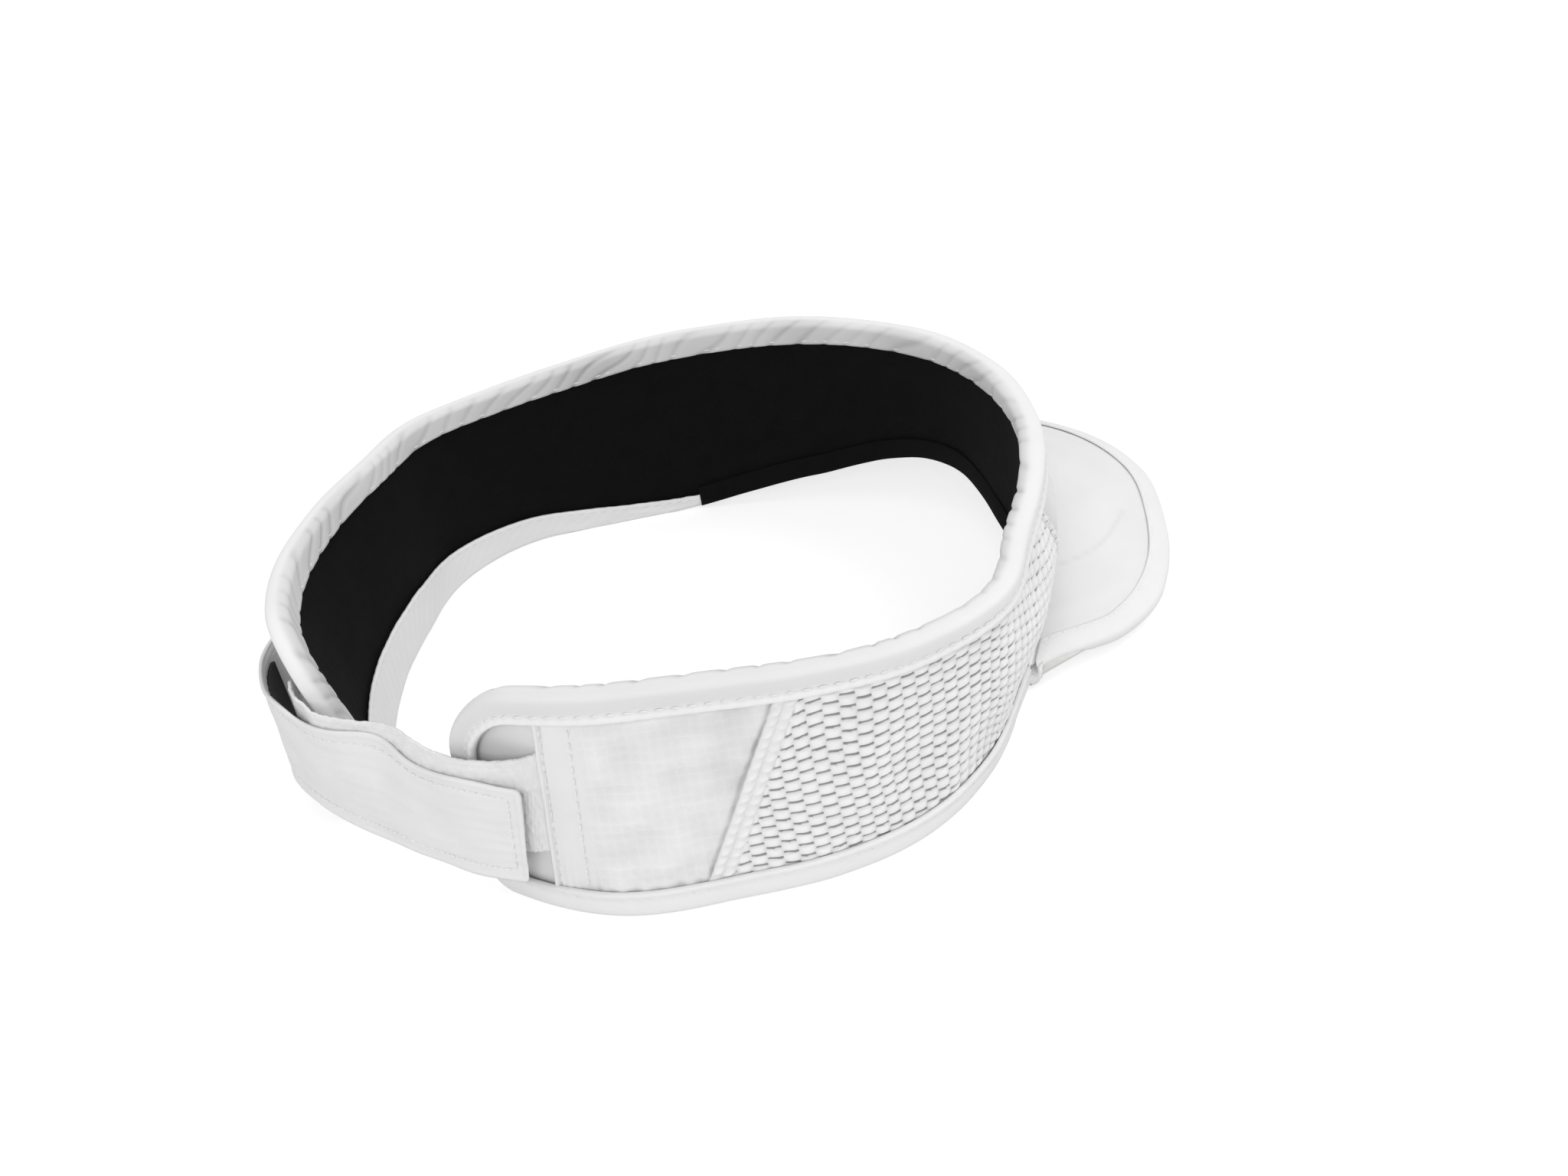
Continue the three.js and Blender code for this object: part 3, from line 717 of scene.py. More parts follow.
def hem_shape(s, t, hand, hem, seed):
    share = s if hand > 0 else 1 - s
    angle = hem_line(hem, hand, t) - hand * hem_width * (1 - share) * degrees_per_mm
    height = mix(hem_foot, wall_height(angle) - hem_foot, t)
    along = angle / degrees_per_mm
    edge_mm = (1 - share) * hem_width
    top_mm, bottom_mm = wall_height(angle) - height - 6.5, height - 6.5
    roll = half_round(edge_mm, hem_roll_at, hem_roll_radius)
    edge_row, fold_row = (ridge(edge_mm, row_mm, 0.3) for row_mm in hem_rows.values())
    dimple = 0.7 + 0.3 * ripple(height, dimple_pitch)
    level = mix(0.6, 0.12, smooth((edge_mm - 3) / (hem_width - 4)))
    out = level + hem_roll_height * roll - 0.3 * (edge_row + 0.6 * fold_row) * dimple
    out = out + 0.1 * soft_noise(along, height, 7, seed) \
        + puckers(along * 2, np.minimum(top_mm, bottom_mm), 4.0, 0.12, seed)
    out = np.where(edge_mm < 0.05, 0.3, out)
    out = np.where(edge_mm > hem_width - 0.3, -0.1, out)
    # Painted shade in the stitch dimples of the edge row
    shade = 1 - 0.22 * edge_row * dimple
    return wall(angle, height, out), along, height, {"shade": shade}


for side, hand, seed in (("right", -1, 91), ("left", 1, 95)):
    hem = cut_cloth(f"hem_fold_{side}", 50, 70, hem_shape, 0.3, plain_cloth,
                    hand=hand, hem=hem_angle[side], seed=seed)
    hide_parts(f"back_hem_{side}")

# %% [markdown]
# The bindings follow the edges of the band. Each path keeps, for every step along an edge,
# the angle and height on the wall and the direction that leads from the edge into the cloth,
# which turns with the round corners at the two ends.

# %% Paths along the edges of the wall
def edge_path(points):
    """Path of a binding from rows of angle, height and the way in from the edge"""
    angle, height, in_angle, in_height = (np.array(row, float) for row in zip(*points))
    places = wall(angle, height, 0)
    steps = np.linalg.norm(np.diff(places, axis=0), axis=1)
    return {"distance": np.concatenate([[0], np.cumsum(steps)]), "angle": angle,
            "height": height, "in_angle": in_angle, "in_height": in_height}


def path_point(path, distance, inward, out):
    angle, height, in_angle, in_height = (np.interp(distance, path["distance"], path[key])
                                          for key in ("angle", "height", "in_angle", "in_height"))
    return wall(angle + in_angle * inward * degrees_per_mm, height + in_height * inward, out)


def round_corner(end, inward, radius, upper, steps=14):
    rows = []
    for turn in np.linspace(0, math.pi / 2, steps):
        angle = end + inward * radius * (1 - math.cos(turn)) * degrees_per_mm
        drop = radius * (1 - math.sin(turn))
        height = wall_height(angle) - drop if upper else drop
        rows.append((angle, height, inward * math.cos(turn), (-1 if upper else 1) * math.sin(turn)))
    return rows


def straight(first, last, top):
    angles = np.linspace(first, last, int(abs(last - first)) + 1)[1:-1]
    return [(angle, wall_height(angle) if top else 0, 0, -1 if top else 1) for angle in angles]


def up_the_end(end, inward, low, high):
    return [(end, height, inward, 0) for height in np.linspace(low, high, 20)]


upper_reach, lower_reach = upper_corner * degrees_per_mm, lower_corner * degrees_per_mm
meet = lower_corner + 1
brim_end = brim_root_angle + 2 * gap_angle
corner_start = {end: wall_height(end) - upper_corner - 0.5 for end in (right_end, left_end)}


def round_the_lower_end(end, inward, last):
    reach = inward * lower_reach
    return edge_path(up_the_end(end, inward, meet - 0.3, lower_corner + 0.2)[:2]
                     + round_corner(end, inward, lower_corner, False)
                     + straight(end + reach, last, False) + [(last, 0, 0, 1)])


top_path = edge_path(
    up_the_end(right_end, 1, meet, corner_start[right_end])
    + round_corner(right_end, 1, upper_corner, True)
    + straight(right_end + upper_reach, left_end - upper_reach, True)
    + round_corner(left_end, -1, upper_corner, True)[::-1]
    + up_the_end(left_end, -1, meet, corner_start[left_end])[::-1])
bottom_paths = {"right": round_the_lower_end(right_end, 1, -brim_end),
                "left": round_the_lower_end(left_end, -1, brim_end)}
front_path = edge_path([(angle, 0, 0, 1) for angle in np.linspace(-brim_end, brim_end, 109)])
top_length = top_path["distance"][-1]
print("top binding", round(top_length), "mm")

# %% [markdown]
# A binding is a tape folded over an edge. Its section is a straight outer leg, a round roll
# and an inner leg. A section is given in mm by how far out its two faces lie, the depth of its
# roll, and the lengths of its outer and inner leg. A relief then swells the tape out.

# %% Section of a folded tape
def tape_section(run, high, low, roll, outer_leg, inner_leg):
    """How far in and out a tape lies after a run of mm from its outer edge, and its normal"""
    middle, half = (high + low) / 2, (high - low) / 2
    outer = outer_leg - roll
    arc = math.pi * math.sqrt((roll**2 + half**2) / 2)
    turn = np.clip((run - outer) / arc, 0, 1) * math.pi
    on_inner = np.clip(run - outer - arc, 0, None)
    inward = np.where(run < outer, outer_leg - run, roll * (1 - np.sin(turn)) + on_inner)
    return inward, middle + half * np.cos(turn), -np.sin(turn), np.cos(turn)


def tape_length(high, low, roll, outer_leg, inner_leg):
    half = (high - low) / 2
    return outer_leg + inner_leg - 2 * roll + math.pi * math.sqrt((roll**2 + half**2) / 2)


stitch_pitch, fine_pitch = 3.3, 3.0


def tape_shape(s, t, path, sizes, relief, leg=None):
    """relief(distance, inward, facing) gives how far the tape swells and its shade"""
    length = path["distance"][-1]
    total = tape_length(*sizes)
    roll, longest_leg = sizes[2], sizes[4]
    distance, run = s * length, t * total
    inward, out, normal_in, normal_out = tape_section(run, *sizes)
    swell, shade = relief(distance, inward, normal_out)
    if leg is not None:
        narrow = (leg(path, distance) - roll) / (longest_leg - roll)
        inside = (normal_out < -0.99) & (inward > roll)
        inward = np.where(inside, roll + (inward - roll) * narrow, inward)
    points = path_point(path, distance, inward + normal_in * swell, out + normal_out * swell)
    return points, distance, run, {"shade": shade}

# %% [markdown]
# The padded top binding swells between its fold and its stitches and ends in a narrow raised
# lip. Round the outside of a bend the tape has too little length and stays smooth; its inner
# leg has too much, and the stitches pull the rest into slanting puckers.

# %% Sew on the padded top binding
top_stitch, inside_stitch = 5.0, 5.6
top_sizes = (2.0, -3.6, 1.6, 7.0, 6.5)
lip_at, lip_radius, lip_height = 6.1, 0.9, 0.7
pucker_pitch, pucker_lean, pucker_width, pucker_depth = 7.6, 6.0, 0.13, 0.5
shaded_until, shade_fades_over = 190, 90


def padded_relief(distance, inward, facing):
    outer, inner = smooth(facing * 3), smooth(-facing * 3)
    stitches = ridge(inward, top_stitch, 0.4) * outer
    swell = 0.3 * np.sin(math.pi * np.clip(inward / top_stitch, 0, 1)) * outer
    swell = swell + 0.13 * soft_noise(distance, inward * 2, 24, 101) * (1 - 0.5 * inner)
    swell = swell - stitches * (0.26 + 0.2 * ripple(distance, stitch_pitch))
    lip = half_round(inward, lip_at, lip_radius) * outer
    swell = swell + lip_height * lip * (1 + 0.1 * np.sin(2 * math.pi * distance / stitch_pitch))
    swell = swell - 0.55 * smooth((inward - 6.5) / 0.4) * outer
    slant = distance / pucker_pitch - inward / pucker_lean
    slant = slant + 0.5 * soft_noise(distance, inward, 30, 103)
    groove = ridge(np.mod(slant, 1), 0.5, pucker_width)
    pulled = smooth(0.12 - 1.5 * facing) * (0.65 + 0.35 * soft_noise(distance, 0 * inward, 34, 104))
    swell = swell - pulled * (pucker_depth * groove - 0.1)
    # The inner leg is greyer, partly from the black lining showing through the thin tape and partly
    # from painted shade inside the band; the pucker grooves and the stitch dimples get more painted
    # shade
    shade = 1 - pulled * (0.24 + 0.16 * groove)
    shade = shade - 0.13 * stitches * (0.5 + 0.5 * ripple(distance, stitch_pitch))
    # Painted shade: the padded roll is greyer near the band's right end, fading out by 190 mm along
    padding = smooth((top_stitch - inward) / 1.2) * smooth(0.6 + facing)
    return swell, shade - 0.13 * padding * smooth((shaded_until - distance) / shade_fades_over)


top_tape = cut_cloth("top_binding_tape", 700, 34, tape_shape, 0.6, binding_cloth,
                     path=top_path, sizes=top_sizes, relief=padded_relief)
declare(["top_binding"])

# %% [markdown]
# The bottom binding is flat, in two pieces that stop at the brim. Its inner leg is wide at the
# back, as the photograph shows, and narrow at the front. Behind the brim's root the lining is
# turned over the edge instead, as a thin black tape.

# %% Sew on the bottom bindings
bottom_stitch = 4.9
bottom_sizes = (2.0, -3.6, 1.6, 6.5, 14.0)
front_leg, widest_at = 4.0, 120
leg_growth = 0.6
front_sizes = (0.2, -3.4, 1.0, 1.3, 6.4)


def flat_relief(distance, inward, facing):
    outer, inner = smooth(facing * 3), smooth(-facing * 3)
    swell = 0.25 * np.sin(math.pi * np.clip(inward / bottom_stitch, 0, 1)) * outer
    swell = swell - 0.2 * ridge(inward, bottom_stitch, 0.4) * outer \
        * (1 + 0.5 * ripple(distance, stitch_pitch))
    swell = swell + 0.4 * half_round(inward, 5.7, 0.8) * outer
    swell = swell - 1.05 * smooth((inward - 5.95) / 0.5) * outer
    swell = swell + 0.08 * soft_noise(distance, inward * 2, 12, 111)
    slant = distance / 4.0 - inward / 6.0 + 0.35 * soft_noise(distance, inward, 22, 113)
    swell = swell + inner * smooth((inward - 2) / 2) * 0.05 * np.sin(2 * math.pi * slant)
    # Painted light: the inner leg is 14 % lighter than its dye, making up for the shade of the wall
    # over it
    return swell, 1 + inner * 0.14


def inner_leg(path, distance):
    """The inner leg widens toward the back and narrows again at the band's round end"""
    angle = np.interp(distance, path["distance"], path["angle"])
    share = np.clip((np.abs(angle) - brim_root_angle) / (widest_at - brim_root_angle), 0, 1)
    from_corner = np.maximum(0, from_end(angle) + edge_inset - lower_corner)
    return np.minimum(mix(front_leg, bottom_sizes[4], share),
                      lower_corner + leg_growth * from_corner)


def turned_relief(distance, inward, facing):
    return 0.06 * soft_noise(distance, inward, 12, 121), 1.0


for side, flip in (("right", True), ("left", False)):
    length = bottom_paths[side]["distance"][-1]
    tape = cut_cloth(f"bottom_binding_tape_{side}", 220, 32, tape_shape, 0.6, binding_cloth,
                     flip=flip, path=bottom_paths[side], sizes=bottom_sizes,
                     relief=flat_relief, leg=inner_leg)
    declare([f"bottom_binding_{side}"])

front_tape = cut_cloth("front_binding_tape", 130, 30, tape_shape, 0.4, lining_cloth, flip=True,
                       path=front_path, sizes=front_sizes, relief=turned_relief)
declare([])

# %% [markdown]
# The brim is a stiff sheet between two cloths, bound along its free edge. Its surface runs
# from a root line on the wall to a smooth outline, raised a little between them.

# %% Curves through given points
def smooth_line(points, samples=400):
    """Even steps along a smooth curve through the points, as the solid model draws it"""
    points = np.array(points, float)
    padded = np.vstack([2 * points[0] - points[1], points, 2 * points[-1] - points[-2]])
    t = np.linspace(0, 1, samples, endpoint=False)[:, None]
    parts = []
    for p0, p1, p2, p3 in zip(padded, padded[1:], padded[2:], padded[3:]):
        d0, d1, d2 = (math.sqrt(np.linalg.norm(b - a)) for a, b in ((p0, p1), (p1, p2), (p2, p3)))
        m1 = ((p1 - p0) / d0 - (p2 - p0) / (d0 + d1) + (p2 - p1) / d1) * d1
        m2 = ((p2 - p1) / d1 - (p3 - p1) / (d1 + d2) + (p3 - p2) / d2) * d1
        parts.append(p1 + m1 * t + (3 * p2 - 3 * p1 - 2 * m1 - m2) * t**2
                     + (2 * p1 - 2 * p2 + m1 + m2) * t**3)
    line = np.vstack(parts + [points[-1:]])
    steps = np.linalg.norm(np.diff(line, axis=0), axis=1)
    distance = np.concatenate([[0], np.cumsum(steps)])
    return distance, line


def on_line(curve, distance):
    return np.stack([np.interp(distance, curve[0], curve[1][:, axis])
                     for axis in range(curve[1].shape[1])], -1)

# %% The brim's surface
brim_outline = [(56.5, -66.6, 3.5), (62, -68.3, 3.7), (68, -71.3, 3.9), (76, -73, 3.8),
                (91, -70, 3.5), (106, -60, 3.2), (121.5, -44, 3), (135.2, -23.6, 2.8),
                (140, 0, 2.8), (135.2, 23.6, 2.8), (121.5, 44, 3), (106, 59.8, 3.2),
                (91, 69.6, 3.5), (76, 72.2, 3.8), (68, 70.9, 3.9), (62, 68.3, 3.7),
                (56.5, 66.6, 3.5)]
root_height, root_out = 2.6, 2.1
brim_crown = 2.0
brim_binding_leg = 7.0


def root_point(across, out=0.0):
    """across runs from -1 at the right end of the root to 1 at its left end"""
    return wall(across * brim_root_angle, root_height, root_out + out)


brim_edge = smooth_line(
    [root_point(np.float64(-1), -1)] + brim_outline + [root_point(np.float64(1), -1)])
brim_edge_length = brim_edge[0][-1]


def edge_point(across):
    return on_line(brim_edge, (across + 1) / 2 * brim_edge_length)


def brim_length(across):
    return np.linalg.norm(edge_point(across) - root_point(across), axis=-1)


def brim_middle(across, forward):
    crown = brim_crown * np.minimum(1, brim_length(across) / (4 * brim_binding_leg))
    middle = mix(root_point(across), edge_point(across), forward[:, None])
    middle[:, 2] += crown * 4 * forward * (1 - forward)
    return middle


def brim_point(across, inward, up):
    forward = 1 - inward / brim_length(across)
    step = np.where(across > 0, -0.01, 0.01)
    middle = brim_middle(across, forward)
    tilt = np.cross(brim_middle(across + step, forward) - middle,
                    brim_middle(across, forward - step) - middle)
    return middle + tilt / np.linalg.norm(tilt, axis=1, keepdims=True) * np.asarray(up)[..., None]


def binding_leg(across):
    """The binding is widest at the right root and narrower from there on"""
    leg = 6.0 + smooth((-0.5 - across) / 0.2) + 4.0 * smooth((-0.74 - across) / 0.12)
    return np.minimum(leg, brim_length(across) - 0.3)


print("brim edge", round(brim_edge_length), "mm long")

# %% [markdown]
# Both covers are stretched over the sheet and run under the binding. The upper one keeps a
# faint crease near its right side, where the brim was once bent: a shallow dip with painted shade
# along it.

# %% Cover the brim
cloth_up, tucked_in, crease_width, crease_depth = 1.25, 2.4, 0.55, 0.15
brim_crease = smooth_line([(79.7, -47.7), (84.4, -48.7), (90.1, -48.8), (96.9, -47.1),
                           (104.8, -43.3), (111.9, -39.2)], samples=24)


def brim_cover_shape(s, t, sign, seed):
    across = 0.985 * np.sin((s - 0.5) * math.pi)
    length = brim_length(across)
    inward = mix(length + 0.35, tucked_in, t)
    along = across * 70
    from_binding = inward - binding_leg(across)
    swell = 0.12 * soft_noise(along, inward, 26, seed) * smooth(from_binding / 6)
    points = brim_point(across, inward, sign * (cloth_up + swell))
    crease = np.zeros(len(points))
    if sign > 0:
        apart = points[:, None, :2] - brim_crease[1][None, :, :2]
        crease = ridge(np.min(np.linalg.norm(apart, axis=2), axis=1), 0, crease_width)
    points[:, 2] -= crease_depth * crease
    # Painted shade along the crease
    return points, along, inward, {"shade": 1 - 0.07 * crease}


for name, sign, node in (("top", 1, "brim_top_cover"), ("under", -1, "brim_under_cover")):
    cover = cut_cloth(f"brim_{name}_cloth", 150, 56, brim_cover_shape, 0.4, plain_cloth,
                      flip=sign > 0, sign=sign, seed=131)
    declare([node])

# %% Bind the brim's edge
brim_stitch = 5.9
brim_sizes = (2.2, -2.2, 1.6, brim_binding_leg, brim_binding_leg)


def brim_tape_relief(distance, inward, facing):
    swell = -0.12 * ridge(inward, brim_stitch, 0.45) * (1 + 0.6 * ripple(distance, fine_pitch))
    swell = swell + 0.18 * np.sin(math.pi * np.clip(inward / brim_stitch, 0, 1))
    swell = swell - 0.36 * smooth((inward - 6.3) / 0.6)
    return swell + 0.05 * soft_noise(distance, inward * facing, 9, 141)


def brim_tape_shape(s, t):
    across = np.sin((s - 0.5) * math.pi)
    run = t * tape_length(*brim_sizes)
    inward, up, normal_in, normal_up = tape_section(run, *brim_sizes)
    distance = (across + 1) / 2 * brim_edge_length
    leg = binding_leg(across)
    narrow = leg / brim_binding_leg
    swell = brim_tape_relief(distance, inward, normal_up) * np.minimum(1, narrow)
    inward = inward * mix(1, narrow, np.clip(inward / 3, 0, 1)) + normal_in * swell
    closed = mix(0.12, 1, np.sqrt(np.clip((1 - np.abs(across)) / 0.006, 0, 1)))
    points = brim_point(across, np.minimum(inward, leg), (up + normal_up * swell) * closed)
    return points, distance, run, {}


brim_tape = cut_cloth("brim_binding_tape", 420, 36, brim_tape_shape, 0.5, binding_cloth, flip=True)
declare(["brim_binding"])

# %% [markdown]
# The closure strap leaves the left hem, crosses the gap at the back and lies over the fuzzy
# loop strap that comes from under the right hem. The strap is one cloth that bends where it
# leaves the band.

# %% The line of the closure, seen from above
strap_width, strap_rise, strap_base_length = 27.5, 9.2, 8.0
strap_top = strap_rise + strap_width
strap_base_out = 1.0
strap_untwist = 34.0
strap_end_slant = 3.6
lean_depth, lean_at, lean_span = 4.3, 82.0, 13.0
strap_line = [(-82, 51.5), (-90, 48.5), (-97, 41), (-101.5, 30), (-101.5, 14), (-97, -5),
              (-91.4, -23.1), (-85.5, -37.4), (-77.5, -49.6)]
fold_angle = hem_angle["left"] + (0.3 + strap_base_length) * degrees_per_mm


def fold_point(rise):
    rise = np.asarray(rise, float)
    angle = np.full(rise.shape, fold_angle)
    return wall(angle + gap_angle, rise - wall_low(angle), strap_base_out)


strap_start = fold_point(strap_top)
strap_path = smooth_line([strap_start[:2]] + strap_line)
strap_length = strap_path[0][-1]
strap_ways = np.gradient(strap_path[1], axis=0)
strap_ways /= np.linalg.norm(strap_ways, axis=1, keepdims=True)


def strap_point(along, rise, out):
    """A point of the closure: along the line, above the ground and out from its outer face"""
    middle = on_line(strap_path, along)
    way = on_line((strap_path[0], strap_ways), along)
    lean = (fold_point(rise) - strap_start)[:, :2] * (1 - smooth(along / strap_untwist))[:, None]
    upward = np.clip((rise - strap_rise) / strap_width, 0, 1.3)
    inward = lean_depth * np.exp(-((along - lean_at) / lean_span) ** 2) * upward ** 1.5
    away = (out - inward)[:, None]
    flat = middle + lean + np.stack([way[:, 1], -way[:, 0]], -1) * away
    return np.column_stack([flat, rise])


def strap_cloth_point(along, rise, out):
    """The same, carried on over the band under the hem"""
    angle = fold_angle + np.minimum(along, 0) * degrees_per_mm
    on_band = wall(angle, rise - wall_low(angle), strap_base_out + out)
    free = strap_point(np.maximum(along, 0), rise, out)
    return mix(on_band, free, smooth((along + 0.8) / 1.6)[:, None])


print("closure strap", round(strap_length + strap_base_length), "mm long")

# %% [markdown]
# The strap is folded ripstop with a rolled edge, a row of stitches round it and a slightly
# wavy upper edge.

# %% Make the closure strap
inset_row = 3.2
strap_corner = 2.0
bend_height, bend_from, bend_to = 21.2, -4.0, 9.0


def strap_wave(along, share):
    """The strap's upper edge is a little wavy"""
    return 0.6 * np.sin(2 * math.pi * (along - 41) / 30) * smooth((along - 34) / 12) * share


def strap_shape(s, t):
    end = strap_length - strap_end_slant * (1 - t)
    along = mix(-strap_base_length, end, s)
    to_end = end - along
    inset = corner_drop(strap_corner, to_end)
    rise = mix(strap_rise + inset, strap_top - inset, t)
    edge_mm = np.minimum(np.minimum(rise - strap_rise, strap_top - rise), to_end)
    free = smooth((along - 2) / 8)
    wide = soft_noise(along, rise * 1.6, 15, 151)
    small = soft_noise(along * 0.5, rise * 2, 7, 152)
    out = -0.1 + 0.35 * half_round(edge_mm, 0.7, 0.8) + free * (0.22 * wide + 0.08 * small)
    stitched = ridge(edge_mm, inset_row, 0.4) * (1 + 0.4 * ripple(along + rise, fine_pitch))
    out = out - 0.2 * stitched * free
    return strap_cloth_point(along, rise + strap_wave(along, t), out), along, rise, {}


strap = cut_cloth("closure_strap_cloth", 330, 64, strap_shape, 0.9, plain_cloth, body=None)
bend_start, bend_end = (
    strap_cloth_point(np.array([along]), np.array([bend_height]), np.array([0.0]))[0] * mm
    for along in (bend_from, bend_to))
tuple(bend_start)
tuple(bend_end)
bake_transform(strap)
declare(["strap_base", "closure_strap"])

# %% [markdown]
# The hook tape is sewn to the strap's inner face and moves with it. Its bristles stand in a
# fine grid.

# %% Add the hook tape
hook_start, hook_end, hook_inset = 24.0, 2.5, 2.0
hook_lower_top, hook_depth, bristle_pitch = 1.0, 2.05, 1.3


def hook_shape(s, t):
    along = mix(hook_start, strap_length - hook_end - strap_end_slant * (1 - t), s)
    rise = mix(strap_rise + hook_inset, strap_top - hook_inset - hook_lower_top, t)
    steps = 2 * math.pi / bristle_pitch
    bristles = np.sin(along * steps) * np.sin(rise * steps)
    return strap_point(along, rise, -hook_depth - 0.08 * bristles), along, rise, {}


hook = cut_cloth("hook_tape_cloth", 260, 62, hook_shape, 0.8, hook_cloth, body="closure_strap",
                 flip=True)
declare(["hook_tape"])

# %% [markdown]
# The loop strap comes from under the right hem, bends onto the line of the closure and lies
# behind the strap. Its free tip stands a little away, and its pile is a fine uneven fuzz.

# %% Add the loop strap
loop_width, loop_length, loop_rise, loop_tip = 26.0, 108, 12.9, 43.0
loop_lift, loop_lift_start, loop_lift_span = 2.6, 74.0, 24.0
loop_leaves, loop_bend = 0.72, 14.0
loop_depth, loop_peel = 2.4, 4.2
loop_corner = 4.0


def loop_point(share, rise, out):
    along = mix(loop_tip, strap_length - loop_bend, np.minimum(1, share / loop_leaves))
    rise = rise + loop_lift * smooth((along - loop_lift_start) / loop_lift_span)
    touching = 1.5 * smooth((rise - strap_top + 5) / 2) * smooth((share - 0.14) / 0.08)
    peeled = loop_peel * np.clip(1 - share / 0.15, 0, 1) ** 2
    away = out + touching - peeled - loop_depth
    on_strap = strap_point(along, rise, away)
    strap_end = strap_point(np.full(share.shape, strap_length), rise, away)
    hem = -hem_angle["right"]
    level = (rise - wall_low(hem)) / wall_height(hem)
    angle = hem_line(hem_angle["right"], -1, level) + 0.8 * degrees_per_mm
    on_wall = wall(angle, rise - wall_low(angle), 0.35 + out)
    leave = np.clip((share - loop_leaves) / (1 - loop_leaves), 0, 1)[:, None]
    return mix(mix(on_strap, strap_end, leave), mix(strap_end, on_wall, leave), leave)


def loop_shape(s, t):
    rise = loop_rise + loop_width * t
    along = s * loop_length
    edge_mm = np.minimum(rise - loop_rise, loop_rise + loop_width - rise)
    pile = 0.1 * soft_noise(along, rise, 2.1, 161) + 0.06 * soft_noise(along, rise, 0.9, 162)
    line = 0.18 * ridge(edge_mm, 1.6, 0.3)
    tip = corner_drop(loop_corner, along)
    rise = mix(loop_rise + tip, loop_rise + loop_width - tip, t)
    return loop_point(s, rise, -0.2 + pile - line), along, rise, {}


loop = cut_cloth("loop_strap_pile", 300, 74, loop_shape, 0.8, loop_cloth)
declare(["loop_strap"])

# %% [markdown]
# Thread stands a little proud of the cloth. Each stitch is a small stretched ball of a few
# dozen faces, laid along its row and half sunk in the groove that the needle pulled.

# %% Sew one row of stitches
thread_flatness = 0.36


def sew_row(name, starts, ends, normals, width, body="headband", slot="binding_white"):
    row = bmesh.new()
    for start, end, normal in zip(starts, ends, normals):
        way = Vector(end - start)
        up = Vector(normal).normalized()
        side = up.cross(way.normalized()).normalized()
        turn = Matrix((way.normalized(), side, up)).transposed().to_4x4()
        size = Matrix.Diagonal((way.length / 2, width / 2, width * thread_flatness, 1))
        place = Matrix.Translation(Vector((start + end) / 2))
        scaled = Matrix.Scale(mm, 4) @ place @ turn @ size
        bmesh.ops.create_uvsphere(row, u_segments=6, v_segments=4, radius=1, matrix=scaled)
    mesh = bpy.data.meshes.new(name)
    row.to_mesh(mesh)
    row.free()
    mesh.uv_layers.new(name="pattern")
    piece = new_piece(name, mesh, thread_cloth, {"shade": 1.0})
    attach(piece, body)
    print(name, len(starts), "stitches")


def sew_along(name, point_at, first, last, pitch, length, width, **kind):
    """point_at(distance, lift) gives points in mm; one stitch for each pitch of the row"""
    middle = np.arange(first + pitch / 2, last - pitch / 2, pitch)
    starts, ends = point_at(middle - length / 2, 0.0), point_at(middle + length / 2, 0.0)
    sew_row(name, starts, ends, point_at(middle, 1.0) - point_at(middle, 0.0), width, **kind)

# %% [markdown]
# The bindings are stitched through from the outside, so both faces show a row. The rows of the
# brim's binding and of the hems have shorter stitches.

# %% Stitch the bindings and the hems
thick, thin = 0.5, 0.4
stitch_length, bottom_stitch_length, fine_length = 2.3, 2.2, 2.1
top_face, top_back, bottom_face, bottom_back, brim_face, hem_face = 1.85, -3.5, 1.9, -3.6, 2.12, 0.5
for face, inward_mm, out, width in (("outside", top_stitch, top_face, thick),
                                    ("inside", inside_stitch, top_back, thin)):
    sew_along(f"top_stitches_{face}", lambda d, lift: path_point(
        top_path, d, np.full(d.shape, inward_mm), out + math.copysign(lift, out)),
        2, top_length - 2, stitch_pitch, stitch_length, width)
for side in ("right", "left"):
    path = bottom_paths[side]
    length = path["distance"][-1]
    sew_along(f"bottom_stitches_outside_{side}", lambda d, lift: path_point(
        path, d, np.full(d.shape, bottom_stitch), bottom_face + lift),
        1, length - 1, stitch_pitch, bottom_stitch_length, thin)
    sew_along(f"bottom_stitches_inside_{side}", lambda d, lift: path_point(
        path, d, inner_leg(path, d) - 1.1, bottom_back - lift),
        4, length - 1, stitch_pitch, bottom_stitch_length, thin)


def brim_row(up):
    def point_at(distance, lift):
        across = np.clip(distance / brim_edge_length * 2 - 1, -0.999, 0.999)
        inward = np.minimum(brim_stitch / brim_binding_leg * binding_leg(across),
                            brim_length(across) - 1)
        return brim_point(across, inward, np.full(distance.shape, up + math.copysign(lift, up)))
    return point_at


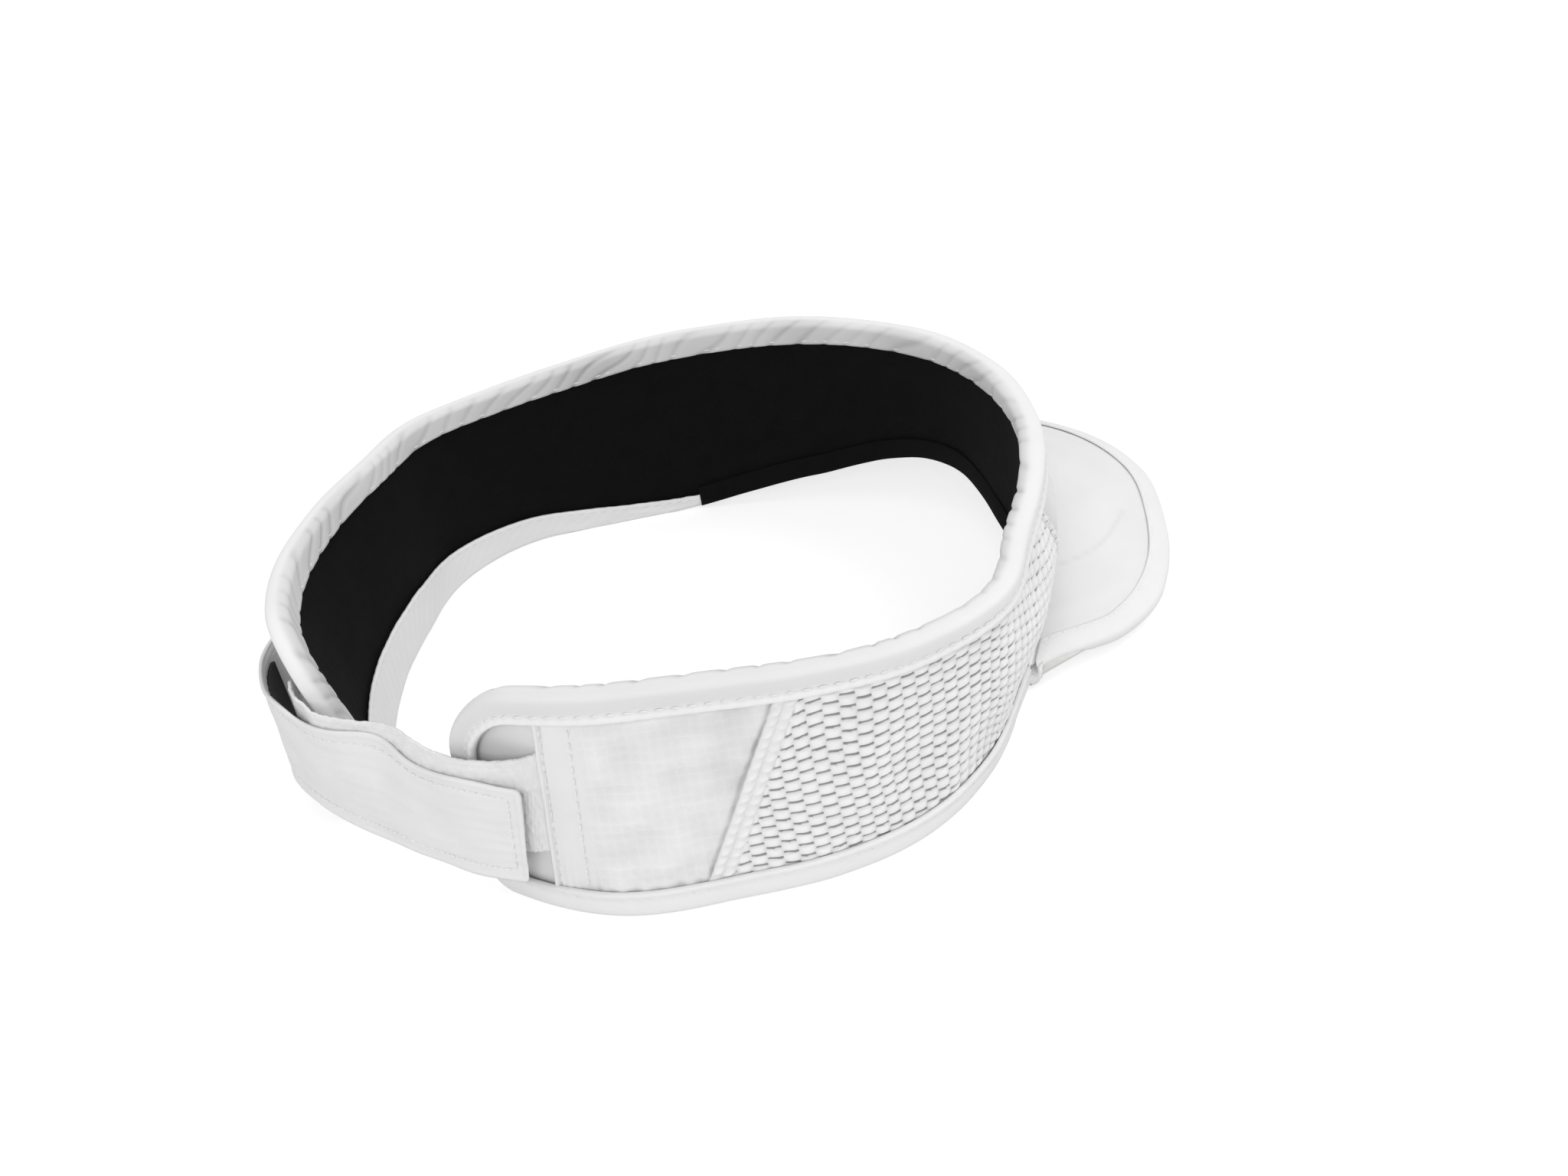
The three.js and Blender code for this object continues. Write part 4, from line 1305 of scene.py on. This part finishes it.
for name, up in (("top", brim_face), ("under", -brim_face)):
    sew_along(f"brim_stitches_{name}", brim_row(up), 12, brim_edge_length - 12,
              fine_pitch, fine_length, thin)

for side, hand in (("right", -1), ("left", 1)):
    for row, edge_mm in hem_rows.items():
        tall = float(wall_height(hand * hem_angle[side]))
        sew_along(f"hem_stitches_{row}_{side}", lambda d, lift: wall(
            hem_line(hem_angle[side], hand, d / tall) - hand * edge_mm * degrees_per_mm, d,
            hem_face + lift), 6.6, tall - 6.6, fine_pitch, fine_length, thin,
            slot="fabric_white")

# %% Sew round the strap
def strap_row_point(side):
    def point_at(distance, lift):
        row = {"low": strap_rise + inset_row, "high": strap_top - inset_row, "end": distance}
        rise = np.zeros(distance.shape) + row[side]
        share = (rise - strap_rise) / strap_width
        end = strap_length - inset_row - strap_end_slant * (1 - share)
        along = end if side == "end" else np.minimum(distance, end)
        rise = rise + strap_wave(along, share)
        return strap_cloth_point(along, rise, np.full(distance.shape, -0.12 + lift))
    return point_at


row_end = strap_length - inset_row
for side, first, last in (("low", 12, row_end - strap_end_slant), ("high", 12, row_end),
                          ("end", strap_rise + inset_row, strap_top - inset_row)):
    sew_along(f"strap_stitches_{side}", strap_row_point(side), first, last, fine_pitch,
              fine_length, 0.45, body="closure_strap", slot="fabric_white")

# %% [markdown]
# Two stiff cores stay inside the cloth, in the brim and behind the front. Their solid shapes
# are right as they are, so they only get a finish.

# %% Finish the hidden cores
fleck_scale = 900
core_finish = bpy.data.materials.new("stiff_core_sheet")
core_finish.use_nodes = True
tree = core_finish.node_tree
place = add_node(tree, "ShaderNodeTexCoord").outputs["Object"]
fleck = add_node(tree, "ShaderNodeTexNoise", {"Vector": place, "Scale": fleck_scale})
ramp = add_node(tree, "ShaderNodeValToRGB", {0: fleck.outputs["Fac"]})
ramp.color_ramp.elements[0].color = (0.62, 0.62, 0.6, 1)
ramp.color_ramp.elements[1].color = (0.74, 0.74, 0.73, 1)
finish_shader(tree, {"Base Color": ramp.outputs[0], "Roughness": 0.6})
for name in ("brim_stiffener", "front_buckram"):
    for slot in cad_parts[name].material_slots:
        slot.material = core_finish
print("two stiff cores finished")
